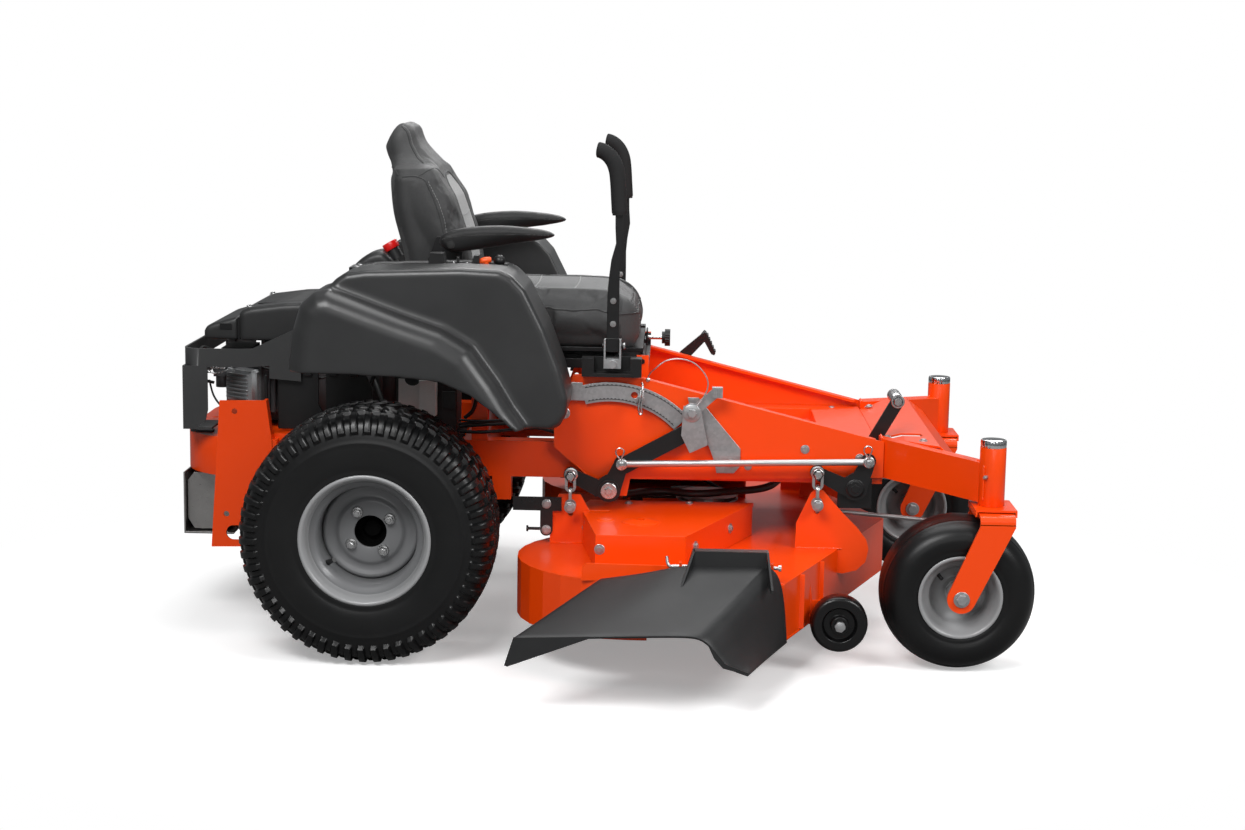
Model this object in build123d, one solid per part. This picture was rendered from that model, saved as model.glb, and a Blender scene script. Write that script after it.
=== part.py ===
# Zero turn mower: a rider with two steering levers, a rear V-twin engine, twin hydrostatic wheel
# drives, two front casters and a three-blade side-discharge deck hung under the middle on chains.
#
# Sizes are millimetres. Parts are modelled in the chassis frame: origin on the ground under the
# middle of the rear axle, +X forward, +Y to the operator's left, +Z up. write() moves each part so
# the origin is on the ground at the middle of the footprint, deflector included.
from build123d import *
import math
import os

os.makedirs("parts", exist_ok=True)

# ---------------------------------------------------------------- driving dimensions
SIDES = {-1: "right", 1: "left"}   # sign of Y on each side
RUN = 0.05                         # running clearance on a radius

# wheels
WHEELBASE = 1288.0                 # rear axle to caster axle, casters trailing
REAR_R = 279.4                     # 22 x 10-10 turf tyre
REAR_YC = 502.5                    # middle of a rear tyre from the centre plane
REAR_HALF = 122.5                  # half the rear tyre's width
BEAD_R = 132                       # rear tyre bead
RIM_R = 143.0                      # 10 inch rim flange
LUG_PCD = 101.6                    # four studs
FRONT_R = 170.0                    # 13 x 6.5-6 smooth tyre
POST_X, POST_Y = 1356.0, 490.0     # caster post

# chassis
RAIL_OUT, RAIL_IN = 300.0, 250.0   # frame rail faces from the centre plane
RAIL_Z0, RAIL_Z1 = 367.0, 449.0
TUBE_T = 4
PANEL_IN, PANEL_OUT = 309, 315     # side panel faces from the centre plane
PEDAL_SLOT = (-232, -196)          # Y range of the lift pedal's slot
PANEL_BOLT = (412, 518)            # X, Z
BRAKE_PIN = (663, 478)             # X, Z
CRANK_X = -185                     # engine's vertical shaft
PUMP_X, PUMP_Y = 20, 190           # a drive's pump shaft

# cutting deck
DECK_TOP, DECK_BOT = 225.0, 98.0
DECK_T = 5.0
DECK_HALF = 710.0
HOUSE_R = 252.0
SPIN_X, SPIN_Y = 571.0, 458.0      # outer spindle
SPINC_X = 745.0                    # centre spindle
SPINDLES = {"right": (SPIN_X, -SPIN_Y), "centre": (SPINC_X, 0), "left": (SPIN_X, SPIN_Y)}
BLADE_ANGLE = {"right": 20, "centre": 70, "left": -35}
BLADE_L = 466.0                    # blade tip to tip
BLADE_Z = 119.0                    # cutting plane with the deck raised
DEFL_HINGE = (-718.0, 262.0)       # Y, Z of the deflector's hinge rod
SCALP_X, SCALP_Z = 1026.0, 111.0   # anti-scalp wheel axle

# deck lift: X, Z of the two cross shafts, then pins measured from either shaft
REAR_LIFT, FRONT_LIFT = LIFTS = (516.0, 347.0), (1072.0, 363.0)
SHAFT_R = 16.0
ROD_PIN = (28.0, 63.0)
CHAIN_PIN = (-86.0, 35.0)
CHAIN_DROP = 68.0                  # chain pin down to the deck bolt
QUAD_R0, QUAD_R1 = 201, 245        # height quadrant's radii about the rear lift shaft
HOLE_R = (QUAD_R0 + QUAD_R1) / 2
PIN_ANGLE = 72.0                   # height pin's place on the quadrant
LOCK_PIV = (700, 529)              # X, Z of the transport lock's bolt

# operator's station, all X, Z
SEAT_HINGE = (585.0, 628.0)        # seat pan's front hinge
LEVER_PIV = (519.0, 634.0)         # steering lever's pivot
LEVER_Y = 322.0
ARM_PIV = (150.0, 892.0)           # armrest pivot

# footprint
LEN_REAR, LEN_FRONT = -479.0, WHEELBASE + FRONT_R
WIDE_R, WIDE_L = -963.0, DECK_HALF
SHIFT = (-(LEN_REAR + LEN_FRONT) / 2, -(WIDE_R + WIDE_L) / 2, 0.0)


# ---------------------------------------------------------------- solids
def box(x0, x1, y0, y1, z0, z1):
    """Box between coordinates; the two of a pair may come in either order."""
    size = abs(x1 - x0), abs(y1 - y0), abs(z1 - z0)
    return Pos((x0 + x1) / 2, (y0 + y1) / 2, (z0 + z1) / 2) * Box(*size)


def cyl_x(y, z, radius, x0, x1):
    return Pos((x0 + x1) / 2, y, z) * Rot(0, 90, 0) * Cylinder(radius, abs(x1 - x0))


def cyl_y(x, z, radius, y0, y1):
    return Pos(x, (y0 + y1) / 2, z) * Rot(90, 0, 0) * Cylinder(radius, abs(y1 - y0))


def cyl_z(x, y, radius, z0, z1):
    return Pos(x, y, (z0 + z1) / 2) * Cylinder(radius, abs(z1 - z0))


def stack_z(x, y, discs):
    """Coaxial upright discs, each (radius, z0, z1)."""
    stack = cyl_z(x, y, *discs[0])
    for disc in discs[1:]:
        stack = stack + cyl_z(x, y, *disc)
    return stack


def rod(start, end, radius):
    """Round bar between two points."""
    start, end = Vector(*start), Vector(*end)
    run = end - start
    plane = Plane(origin=start, z_dir=run.normalized())
    return plane * (Pos(0, 0, run.length / 2) * Cylinder(radius, run.length))


def prism_x(outline, x0, x1):
    """(y, z) outline pushed along X."""
    face = make_face(Polyline(*[(0, y, z) for y, z in outline], close=True))
    return Pos(x0, 0, 0) * extrude(face, amount=x1 - x0, dir=(1, 0, 0))


def prism_y(outline, y0, y1):
    """(x, z) outline pushed along Y; y0 and y1 in either order."""
    face = make_face(Polyline(*[(x, 0, z) for x, z in outline], close=True))
    y0, y1 = min(y0, y1), max(y0, y1)
    return Pos(0, y0, 0) * extrude(face, amount=y1 - y0, dir=(0, 1, 0))


def prism_z(outline, z0, z1):
    """(x, y) outline pushed along Z."""
    face = make_face(Polyline(*[(x, y, 0) for x, y in outline], close=True))
    return Pos(0, 0, z0) * extrude(face, amount=z1 - z0, dir=(0, 0, 1))


def turn_y(outline, x, z):
    """(y, radius) outline turned about the Y axis through (x, z)."""
    face = make_face(Polyline(*[(r, y, 0) for y, r in outline], close=True))
    return Pos(x, 0, z) * revolve(face, Axis.Y, 360)


def turn_z(outline, x, y):
    """(radius, z) outline turned about the Z axis through (x, y)."""
    face = make_face(Polyline(*[(r, 0, z) for r, z in outline], close=True))
    return Pos(x, y, 0) * revolve(face, Axis.Z, 360)


def arc_points(x, y, radius, start, end, steps):
    """Points along an arc, angles in degrees, both ends included."""
    angles = [math.radians(start + (end - start) * k / steps) for k in range(steps + 1)]
    return [(x + radius * math.cos(a), y + radius * math.sin(a)) for a in angles]


def hex_y(x, z, radius, y0, y1):
    return prism_y(arc_points(x, z, radius, 0, 300, 5), y0, y1)


def hex_z(x, y, radius, z0, z1):
    return prism_z(arc_points(x, y, radius, 0, 300, 5), z0, z1)


def round_bar(start, end, radius, y0, y1):
    """Flat bar with round ends between two (x, z) points."""
    (x0, z0), (x1, z1) = start, end
    dx, dz = x1 - x0, z1 - z0
    length = math.hypot(dx, dz)
    nx, nz = -dz / length * radius, dx / length * radius
    corners = [(x0 + nx, z0 + nz), (x1 + nx, z1 + nz), (x1 - nx, z1 - nz), (x0 - nx, z0 - nz)]
    bar = prism_y(corners, y0, y1)
    return bar + cyl_y(x0, z0, radius, y0, y1) + cyl_y(x1, z1, radius, y0, y1)


def tube_x(x0, x1, y0, y1, z0, z1):
    """Box tube along X."""
    y0, y1 = sorted((y0, y1))
    bore = box(x0 - 1, x1 + 1, y0 + TUBE_T, y1 - TUBE_T, z0 + TUBE_T, z1 - TUBE_T)
    return box(x0, x1, y0, y1, z0, z1) - bore


def tube_y(x0, x1, y0, y1, z0, z1):
    """Box tube along Y."""
    bore = box(x0 + TUBE_T, x1 - TUBE_T, y0 - 1, y1 + 1, z0 + TUBE_T, z1 - TUBE_T)
    return box(x0, x1, y0, y1, z0, z1) - bore


def u_band(rear_x, half_width, corner_r, thickness, front_x, z, height):
    """Rounded band reaching back to rear_x and mirrored in front of front_x, to be trimmed."""
    length, width = 2 * (front_x - rear_x), 2 * half_width
    outer = RectangleRounded(length, width, corner_r)
    inner = RectangleRounded(length - 2 * thickness, width - 2 * thickness, corner_r - thickness)
    ring = (Pos(front_x, 0) * outer) - (Pos(front_x, 0) * inner)
    return extrude(Pos(0, 0, z) * ring, amount=height)


def half_hull(points):
    """One side of a convex hull, from sorted points."""
    chain = []
    for x, y in points:
        while len(chain) >= 2:
            (x0, y0), (x1, y1) = chain[-2:]
            if (x1 - x0) * (y - y0) - (y1 - y0) * (x - x0) > 1e-9:
                break
            chain.pop()
        chain.append((x, y))
    return chain


def belt(centres, radii, z0, z1, thickness=8):
    """Flat belt as a band pulled tight round pulleys."""
    def hull(grow):
        points = []
        for (x, y), radius in zip(centres, radii):
            points += arc_points(x, y, radius + grow, 0, 350, 35)
        points = sorted(set((round(x, 4), round(y, 4)) for x, y in points))
        return half_hull(points)[:-1] + half_hull(points[::-1])[:-1]
    return prism_z(hull(thickness), z0, z1) - prism_z(hull(0), z0 - 1, z1 + 1)


def ring_section(outer, inner):
    """Closed tyre section from the half outlines: outer runs to the middle, inner from it."""
    outer_back = [(-y, r) for y, r in reversed(outer[:-1])]
    inner_back = [(-y, r) for y, r in reversed(inner[1:])]
    return outer + outer_back + inner_back + inner


def triangle(a, b, c, thickness, direction):
    return extrude(make_face(Polyline(a, b, c, close=True)), amount=thickness, dir=direction)


def largest(shape):
    return max(shape.solids(), key=lambda solid: solid.volume)


def offset(shaft, pin):
    """(x, z) of a pin measured from a lift shaft."""
    return shaft[0] + pin[0], shaft[1] + pin[1]


def write(name, *shapes):
    moved = [Pos(*SHIFT) * solid for shape in shapes for solid in shape.solids()]
    part = moved[0] if len(moved) == 1 else Compound(children=moved)
    part.label = name
    export_step(part, f"parts/{name}.step")


# ---------------------------------------------------------------- chassis
def frame_side(side):
    """One rail with its splayed front arm, caster post and lift shaft plates."""
    y_in, y_out = side * RAIL_IN, side * RAIL_OUT
    rail = tube_x(-330, 1136, y_in, y_out, RAIL_Z0, RAIL_Z1)
    # the arm is pushed from the rail's front end to the caster post
    arm_x, z0, z1 = 1130, 384, 472
    y0, y1 = sorted((side * (RAIL_IN - 1), side * (RAIL_OUT + 1)))
    corners = [(arm_x, y0, z0), (arm_x, y1, z0), (arm_x, y1, z1), (arm_x, y0, z1)]
    face = make_face(Polyline(*corners, close=True))
    reach = Vector(POST_X - arm_x, side * (POST_Y - (RAIL_IN + RAIL_OUT) / 2), -19)
    arm = extrude(face, amount=reach.length, dir=reach.normalized())
    arm = arm - cyl_z(POST_X, side * POST_Y, 28.0, 300, 520)
    post = (cyl_z(POST_X, side * POST_Y, 28.5, 362, 490)
            - cyl_z(POST_X, side * POST_Y, 24, 300, 520))
    half = rail + arm + post
    # hanging bracket behind the rear lift shaft, then plates that carry both lift shafts
    half += box(248, 291, y_in, y_out, 313, RAIL_Z0)
    for x, z in LIFTS:
        half += box(x - 26, x + 26, side * 262 - 4, side * 262 + 4, z - 24, RAIL_Z0 + 1)
    return half


def rear_upright(side):
    """Upright plate standing off the rail's rear end, with a flange and a spacer block."""
    inner, outer = side * 330, side * 336
    plate = prism_y([(-367.6, 534), (-262, 536), (-250, 445), (-250, 367), (-262, 199),
                     (-390, 196)], inner, outer)
    plate += prism_y([(-268, 536), (-262, 536), (-250, 445), (-250, 367), (-262, 199),
                      (-268, 199)], side * 306, outer)
    for x, z in ((-334, 510), (-355, 273)):
        plate -= cyl_y(x, z, 6.5, side * 300, side * 340)
    # slot with a round rear end
    plate -= (cyl_y(-339, 230, 17, side * 325, side * 340)
              + box(-339, -300, side * 325, side * 340, 213, 247))
    plate += box(-300, -240, side * RAIL_OUT, side * 331, 395, 445)
    return plate


def main_frame():
    frame = frame_side(-1) + frame_side(1)
    # cross members: x0, x1, z0
    for x0, x1, z0 in ((-330, -280, RAIL_Z0), (180, 230, RAIL_Z0 + 10),
                       (600, 640, RAIL_Z0 + 30), (1015, 1055, RAIL_Z1 - 28)):
        frame += tube_y(x0, x1, -RAIL_IN, RAIL_IN, z0, RAIL_Z1)
    # engine plate on the rails
    frame += (box(-330, -40, -RAIL_OUT, RAIL_OUT, RAIL_Z1, RAIL_Z1 + 6)
              - cyl_z(CRANK_X, 0, 60, 440, 470))
    # seat frame uprights with the seat pan's hinge lugs, then the cross bars
    for side in SIDES:
        inner, outer = side * 262, side * 298
        frame += box(200, 236, inner, outer, RAIL_Z1, 607.8)
        frame += box(560, 590, inner, outer, RAIL_Z1, 592)
        frame += box(572, 600, side * 224, side * 230, 580, 642)
        frame -= cyl_y(*SEAT_HINGE, 6 + RUN, side * 200, side * 240)
    frame += box(200, 236, -262, 262, 577, 607.8) + box(560, 590, -262, 262, 564, 592)
    for shaft in LIFTS:
        frame -= cyl_y(*shaft, SHAFT_R + RUN, -600, 600)
    for side in SIDES:
        frame += rear_upright(side)
    return [frame]


def side_panels():
    """Deck lift side plates."""
    panels = []
    for side in SIDES:
        inner, outer = side * PANEL_IN, side * PANEL_OUT
        panel = prism_y([(389, 495), (430, 603), (470, 605), (590, 600), (1136, 466), (1136, 384),
                         (640, 371), (473, 368), (437, 399), (389, 440)], inner, outer)
        # turned-in flange along the top
        panel += prism_y([(430, 603), (470, 605), (590, 600), (1118, 470), (1117, 464),
                          (589, 594), (470, 599), (430, 597)], side * 285, outer)
        # turned-in foot along the bottom
        panel += prism_y([(480, 368), (640, 371), (1128, 384), (1128, 390), (640, 377),
                          (480, 374)], side * 301, outer)
        # tab round the rear lift shaft on the lower edge
        panel += prism_y([(478, 330), (556, 330), (564, 372), (470, 372)], inner, outer)
        panel -= cyl_y(*REAR_LIFT, SHAFT_R + RUN, side * 200, side * 330)
        panel -= cyl_y(*PANEL_BOLT, 5.5, side * 300, side * 320)
        if side == 1:
            # brake pedal pin on the left plate's outer face
            panel += cyl_y(*BRAKE_PIN, 8, 312, 331)
        panels.append(panel)
    return panels


def footplate():
    """Floor with a sunken pan, folded front plate and the seat tower's front plate."""
    floor = (box(640, 1128, -RAIL_OUT, RAIL_OUT, RAIL_Z1, RAIL_Z1 + 4)
             - box(700, 1005, -243, 243, RAIL_Z1 - 1, RAIL_Z1 + 5))
    pan_z = RAIL_Z1 - 27
    floor += box(696, 1009, -246, 246, pan_z, pan_z + 4)
    for x0, x1, y0, y1 in ((696, 700, -246, 246), (1005, 1009, -246, 246),
                           (696, 1009, -246, -242), (696, 1009, 242, 246)):
        floor += box(x0, x1, y0, y1, pan_z, RAIL_Z1 + 4)
    floor -= box(1056, 1129, *PEDAL_SLOT, 400, 520)
    floor -= box(630, 684, 184, 194, 440, 460)
    # folded plate between the splayed arms, slotted for the lift pedal
    fold = [(1128, 454), (1186, 468), (1256, 468), (1304, 430), (1304, 392), (1299, 392),
            (1299, 427.5), (1254.5, 463), (1187, 463), (1128, 449.2)]
    splay = [(1128, -246.4), (1306, -415.7), (1306, 415.7), (1128, 246.4)]
    front = prism_y(fold, -420, 420) & prism_z(splay, 380, 500)
    front -= box(1100, 1232, *PEDAL_SLOT, 400, 520)
    tower = prism_x([(-262, 462), (262, 462), (262, 579), (-262, 579)], 590.5, 594)
    tower -= box(560, 620, 160, 200, 400, 520)
    return [floor, front, tower]


def rear_bumper():
    ahead = box(-270, 400, -400, 400, 340, 460)
    bumper = u_band(LEN_REAR, 296, 170, 6, -270, 351, 90) - ahead
    # wide flange along the top, held 0.1 inside the band
    bumper += u_band(-478.9, 295.9, 169.9, 72, -270, 436, 5) - ahead
    # room for the frame's rear end
    bumper -= box(-331, -260, -301, 301, 340, 460)
    bumper -= cyl_z(-448, 0, 8.25, 400, 460)     # hitch pin hole
    # end tabs reaching the rear upright plates
    for side in SIDES:
        bumper += box(-372, -332, side * 290, side * 329.5, 372, 420)
    return [bumper]


def engine_guard():
    """Bent strap round the engine with legs down to the bumper."""
    guard = u_band(-462, 292, 40, 5, -300, 604, 42) - box(-330, 400, -400, 400, 590, 700)
    for side in SIDES:
        inner, outer = side * 287, side * 292
        # strap's front ends
        guard += prism_y([(-331, 604), (-331, 646), (-300, 648), (-190, 700), (-190, 640),
                          (-250, 610)], inner, outer)
        guard += prism_y([(-262, 640), (-190, 680), (-190, 575), (-262, 580)], inner, outer)
        # leg: angle section with a foot
        guard += prism_y([(-461, 462), (-461, 606), (-404, 606), (-404, 505), (-410, 478),
                          (-436, 462)], inner, outer)
        guard += box(-461, -456, side * 190, outer, 462, 606)
        guard += box(-461, -395, side * 190, outer, 460, 465)
        guard += (box(-461, -452, side * 192, side * 216, 441, 462)
                  + box(-461, -410, side * 192, side * 216, 441, 445))
    return [guard]


# ---------------------------------------------------------------- engine and drives
def engine_block():
    engine = box(-330, -60, -150, 150, 461, 610) + cyl_z(CRANK_X, 0, 140, 455.2, 640)
    engine += box(-300, -90, -110, 110, 600, 640)
    for side in SIDES:
        # one finned cylinder each side, leaning back in plan
        bore = Plane(origin=(-200, side * 60, 555), z_dir=Vector(-0.62, side * 0.78, 0))
        cylinder = bore * (Pos(0, 0, 90) * Box(96, 96, 190))
        for k in range(6):
            cylinder += bore * (Pos(0, 0, 100 + 15 * k) * Box(124, 124, 4))
        cylinder += bore * (Pos(0, 0, 196) * Box(108, 112, 26))
        engine += cylinder
    engine = engine & box(-452, 0, -284, 284, 455.1, 700)
    oil_filter = cyl_z(-60, 120, 36, 470, 560)
    starter = cyl_z(-60, -130, 34, 470, 600)
    carburettor = box(-420, -350, -60, 60, 560, 618) + cyl_y(-385, 588, 22, -120, -60)
    # open underneath for the crankshaft
    engine -= cyl_z(CRANK_X, 0, 14 + RUN, 440, 516)
    return [engine, oil_filter - engine, starter - engine, carburettor - engine]


def engine_covers():
    """Blower housing and the air cleaner lid behind it."""
    hood = prism_y([(-356, 652), (-356, 718), (-330, 728), (-250, 741), (-140, 746), (-60, 700),
                    (-60, 652)], -178, 178)
    hood -= prism_y([(-352, 640), (-352, 715), (-329, 724), (-250, 737), (-142, 742), (-64, 698),
                     (-64, 640)], -174, 174)
    lid = prism_y([(-439, 652), (-439, 674), (-430, 684), (-362, 706), (-362, 652)], -168, 168)
    lid -= prism_y([(-435, 640), (-435, 673), (-428, 680), (-366, 701), (-366, 640)], -164, 164)
    base = box(-356, -60, -178, 178, 648, 652) - cyl_z(CRANK_X, 0, 150, 640, 660)
    return [hood + base, lid]


def muffler():
    can = prism_y([(-470, 236), (-470, 326), (-455, 345), (-380, 345), (-365, 326), (-365, 236),
                   (-380, 212), (-455, 212)], -215, 215)
    shield = box(-476, -472, -232, 232, 205, 348) + box(-476, -360, -232, 232, 203, 207)
    stubs = rod((-420, 120, 345), (-420, 120, 430), 14) + rod((-420, -120, 345),
                                                              (-420, -120, 430), 14)
    return [can + stubs, shield]


def battery():
    case = box(20, 160, -238, -120, 455, 586)
    posts = cyl_z(45, -150, 8, 586, 600) + cyl_z(135, -150, 8, 586, 600)
    tray = box(-38, 178, -250, -110, 449.2, 455)
    return [case + posts, tray]


def engine_pulley():
    """Crankshaft with the drive pulley above a larger pulley."""
    upper = [(14, 296, 515), (62, 336, 340), (50, 340, 348), (62, 348, 352)]
    lower = [(72, 300, 304), (60, 304, 314), (72, 314, 318), (66, 318, 336)]
    return [stack_z(CRANK_X, 0, upper) + stack_z(CRANK_X, 0, lower)]


def hydro_drives():
    drives = []
    for side in SIDES:
        drive = box(-85, 85, side * 241, side * 366, 200, 352)
        drive += cyl_y(0, REAR_R, 56, side * 366, side * 382)
        drive += (cyl_z(PUMP_X, side * PUMP_Y, 50, 262, 330)
                  + box(-40, 70, side * 180, side * 242, 262, 330))
        drive += stack_z(PUMP_X, side * PUMP_Y, [(10, 330, 336), (48, 336, 340), (38, 340, 348),
                                                 (48, 348, 352)])
        drive -= cyl_y(0, REAR_R, 14 + RUN, side * 370, side * 384)
        drive += cyl_z(-50, side * 330, 34, 140, 200)
        drives.append(drive)
    return drives


def drive_belt():
    """Belt from the crank pulley to both pumps, 0.5 clear of the grooves."""
    centres = [(CRANK_X, 0), (PUMP_X, -PUMP_Y), (PUMP_X, PUMP_Y)]
    return [belt(centres, [50.5, 38.5, 38.5], 341, 347)]


# ---------------------------------------------------------------- wheels
def rear_tyre(side):
    # (share of the half width, radius)
    outer = [(-0.885, BEAD_R), (-0.90, BEAD_R + 12), (-0.93, BEAD_R + 16), (-0.985, BEAD_R + 34),
             (-1.0, BEAD_R + 62), (-0.985, BEAD_R + 96), (-0.95, REAR_R - 30),
             (-0.87, REAR_R - 13), (-0.72, REAR_R - 4.5), (-0.4, REAR_R - 1), (0, REAR_R)]
    inner = [(0, REAR_R - 17), (-0.66, REAR_R - 20), (-0.80, REAR_R - 32), (-0.88, BEAD_R + 90),
             (-0.90, BEAD_R + 62), (-0.86, BEAD_R + 34), (-0.80, BEAD_R + 12), (-0.78, BEAD_R)]
    outer, inner = ([(share * REAR_HALF, r) for share, r in half] for half in (outer, inner))
    return [Pos(0, side * REAR_YC, 0) * turn_y(ring_section(outer, inner), 0, REAR_R)]


def rear_wheel(side):
    """Rim, hub and nuts, modelled for the right side and mirrored for the left."""
    rim = turn_y([(-116, RIM_R), (-112, RIM_R), (-112, 131.5), (-80, 129), (-66, 112), (66, 112),
                  (80, 129), (112, 131.5), (112, RIM_R), (116, RIM_R), (116, 127), (84, 125),
                  (70, 108), (-70, 108), (-84, 125), (-116, 127)], 0, REAR_R)
    rim += turn_y([(-16, 35.5), (-16, 70), (-9, 77), (-9, 110), (-3, 110), (-3, 79.5), (-10, 72),
                   (-10, 35.5)], 0, REAR_R)
    hub = (cyl_y(0, REAR_R, 62, -9.8, 4) + cyl_y(0, REAR_R, 33, -14, 4)
           + cyl_y(0, REAR_R, 24, 4, 30) + cyl_y(0, REAR_R, 14, 0, 129))
    nuts = []
    for k in range(4):
        angle = math.radians(34 + 90 * k)
        x = LUG_PCD / 2 * math.cos(angle)
        z = REAR_R + LUG_PCD / 2 * math.sin(angle)
        rim -= cyl_y(x, z, 7, -20, 0)
        hub += cyl_y(x, z, 6.3, -26, 0)
        nuts.append(hex_y(x, z, 10.5, -27, -16.2) - cyl_y(x, z, 6.5, -30, 0))
    # valve stem, from radius 112 in to 97
    lean_x, lean_z = math.cos(0.62), math.sin(0.62)
    stem = rod((-112 * lean_x, -60, REAR_R - 112 * lean_z),
               (-97 * lean_x, -70, REAR_R - 97 * lean_z), 4)
    pieces = [rim + stem, hub] + nuts
    if side > 0:
        pieces = [mirror(piece, about=Plane.XZ) for piece in pieces]
    return [Pos(0, side * REAR_YC, 0) * piece for piece in pieces]


def caster_fork(side):
    yc = side * POST_Y
    fork = cyl_z(POST_X, yc, 12.7, 350, 496)
    fork += cyl_z(POST_X, yc, 23, 354, 361.5)
    fork += box(1322, 1398, yc - 92, yc + 92, 344, 354)
    for end in (-1, 1):
        y0, y1 = yc + end * 84, yc + end * 92
        arm = prism_y([(1322, 354), (1398, 354), (1398, 316), (1316, 152), (1262, 184)], y0, y1)
        arm += cyl_y(WHEELBASE, FRONT_R, 31, y0, y1)
        arm -= cyl_y(WHEELBASE, FRONT_R, 8 + RUN, yc + end * 80, yc + end * 95)
        fork += arm
    bolt = cyl_y(WHEELBASE, FRONT_R, 8, yc - 96, yc + 100)
    head = (hex_y(WHEELBASE, FRONT_R, 13, yc - 104, yc - 95)
            + cyl_y(WHEELBASE, FRONT_R, 15.5, yc - 95, yc - 92.1))
    nut = hex_y(WHEELBASE, FRONT_R, 13, yc + 94, yc + 104)
    return [fork, bolt + head + nut]


def caster_tyre(side):
    # (y, radius)
    outer = [(-69, 80), (-70, 91.5), (-74, 96), (-79, 108), (-80, 120), (-76, 134), (-66, 148),
             (-50, 160), (-28, 167.5), (0, FRONT_R)]
    inner = [(0, 154), (-46, 147), (-62, 137), (-70, 122), (-68, 106), (-60, 92), (-58, 80)]
    return [Pos(0, side * POST_Y, 0) * turn_y(ring_section(outer, inner), WHEELBASE, FRONT_R)]


def caster_rim(side):
    bore = 8 + RUN
    section = [(-74, 90), (-71, 90), (-71, 79.9), (-52, 78), (-44, 66), (44, 66), (52, 78),
               (71, 79.9), (71, 90), (74, 90), (74, 76), (55, 74.5), (47, 62), (3, 62), (3, 22),
               (80, 22), (80, bore), (-80, bore), (-80, 22), (-3, 22), (-3, 62), (-47, 62),
               (-55, 74.5), (-74, 76)]
    return [Pos(0, side * POST_Y, 0) * turn_y(section, WHEELBASE, FRONT_R)]


# ---------------------------------------------------------------- fenders, consoles and tanks
# (x, z) outlines: the fender's body and its outer flare, each with the hollow cut inside it
BODY = [(-95, 700), (-88, 812), (-69, 836), (-48, 850), (-5, 857), (198, 865), (283, 862),
        (309, 850), (337, 821), (380, 736), (413, 650), (431, 586), (428, 553), (415, 529),
        (393, 517), (337, 520), (300, 560), (100, 700)]
BODY_HOLLOW = [(-91, 560), (-83.5, 810), (-66, 832), (-46, 846), (-5, 852.5), (198, 860.5),
               (282, 857.5), (306, 846.5), (332, 819), (375.5, 734), (408.5, 648.5),
               (426.5, 585.5), (423.5, 554), (411.5, 533), (392, 521.5), (345, 500), (300, 400),
               (-60, 400)]
FLARE = [(-162, 640), (-164, 657), (-155, 732), (-139, 785), (-110, 811), (-78, 818), (77, 762),
         (162, 734), (225, 697), (279, 623), (311, 570), (345, 524), (322, 521), (268, 569),
         (226, 600), (162, 627), (77, 636), (-30, 640)]
FLARE_HOLLOW = [(-158, 600), (-159.5, 657), (-150.5, 731.5), (-135, 783), (-108, 807),
                (-78, 813), (75.5, 757.5), (160, 729.6), (221.6, 694), (275, 620.6),
                (307, 567.6), (337, 520), (330, 400), (-150, 400)]
FILLER = (-5, 470)                 # X, Y of the fuel filler


def fender(side):
    shell = prism_y(BODY, side * 345, side * 570) + prism_y(FLARE, side * 400, side * 630)
    shell -= prism_y(BODY_HOLLOW, side * 340, side * 565.5)
    shell -= prism_y(FLARE_HOLLOW, side * 395, side * 625.5)
    shell = shell - box(-300, 500, side * 330, side * 640, 380, 521.2)
    # inner skirt between the seat and the tyre
    shell += box(-60, 300, side * 345, side * 349, 640, 858)
    shell = largest(shell)
    # console opening in the top, and the fuel filler hole on the left
    if side < 0:
        shell -= box(-60, 286, -430, -352, 826, 880)
    else:
        shell -= box(60, 278, 352, 430, 826, 880)
        shell -= cyl_z(*FILLER, 46, 840, 880)
    return [solid for solid in shell.solids() if solid.volume > 100]


def consoles():
    """Panel inserts in the fender tops and the lever boxes."""
    right = box(-59, 285, -429, -353, 838, 850) + box(-24, 70, -422, -362, 850, 852.5)
    right += prism_y([(112, 850), (118, 884), (148, 884), (153, 850)], -424, -386)
    right += prism_y([(206, 850), (214, 880), (226, 880), (226, 850)], -420, -388)
    right -= cyl_z(240, -402, 5.5 + RUN, 820, 880)                 # choke hole
    right -= box(256, 275.5, -404.2, -395.8, 820, 880)             # throttle slot
    pieces = [right, box(61, 277, 353, 429, 838, 850)]
    for side in SIDES:
        lever_box = box(451, 585, side * 302, side * 344, 606, 648)
        lever_box -= box(478, 560, side * 306, side * 345, 614, 650)
        pieces.append(lever_box)
    return pieces


def fuel_tank():
    tank = box(-50, 250, 372, 540, 700, 826) + cyl_z(*FILLER, 34, 820, 872)
    tank -= cyl_z(*FILLER, 28, 800, 880)
    return [tank]


def fuel_cap():
    return [cyl_z(*FILLER, 42, 872.4, 894) + cyl_z(*FILLER, 27.95, 850, 873)]


def hydraulic_reservoir():
    body = prism_y([(-146, 762), (-130, 800), (-95, 832), (-60, 842), (-28, 816), (-16, 762)],
                   90, 210)
    body += box(-24, -6, 110, 190, 455.2, 766)
    mouth = Plane(origin=(-48, 150, 835), z_dir=Vector(-0.5, 0, 0.87))
    neck = mouth * (Pos(0, 0, 8) * Cylinder(15, 26))
    cap = mouth * (Pos(0, 0, 30) * Cylinder(19, 17))
    return [body + neck, cap - (body + neck)]


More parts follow.
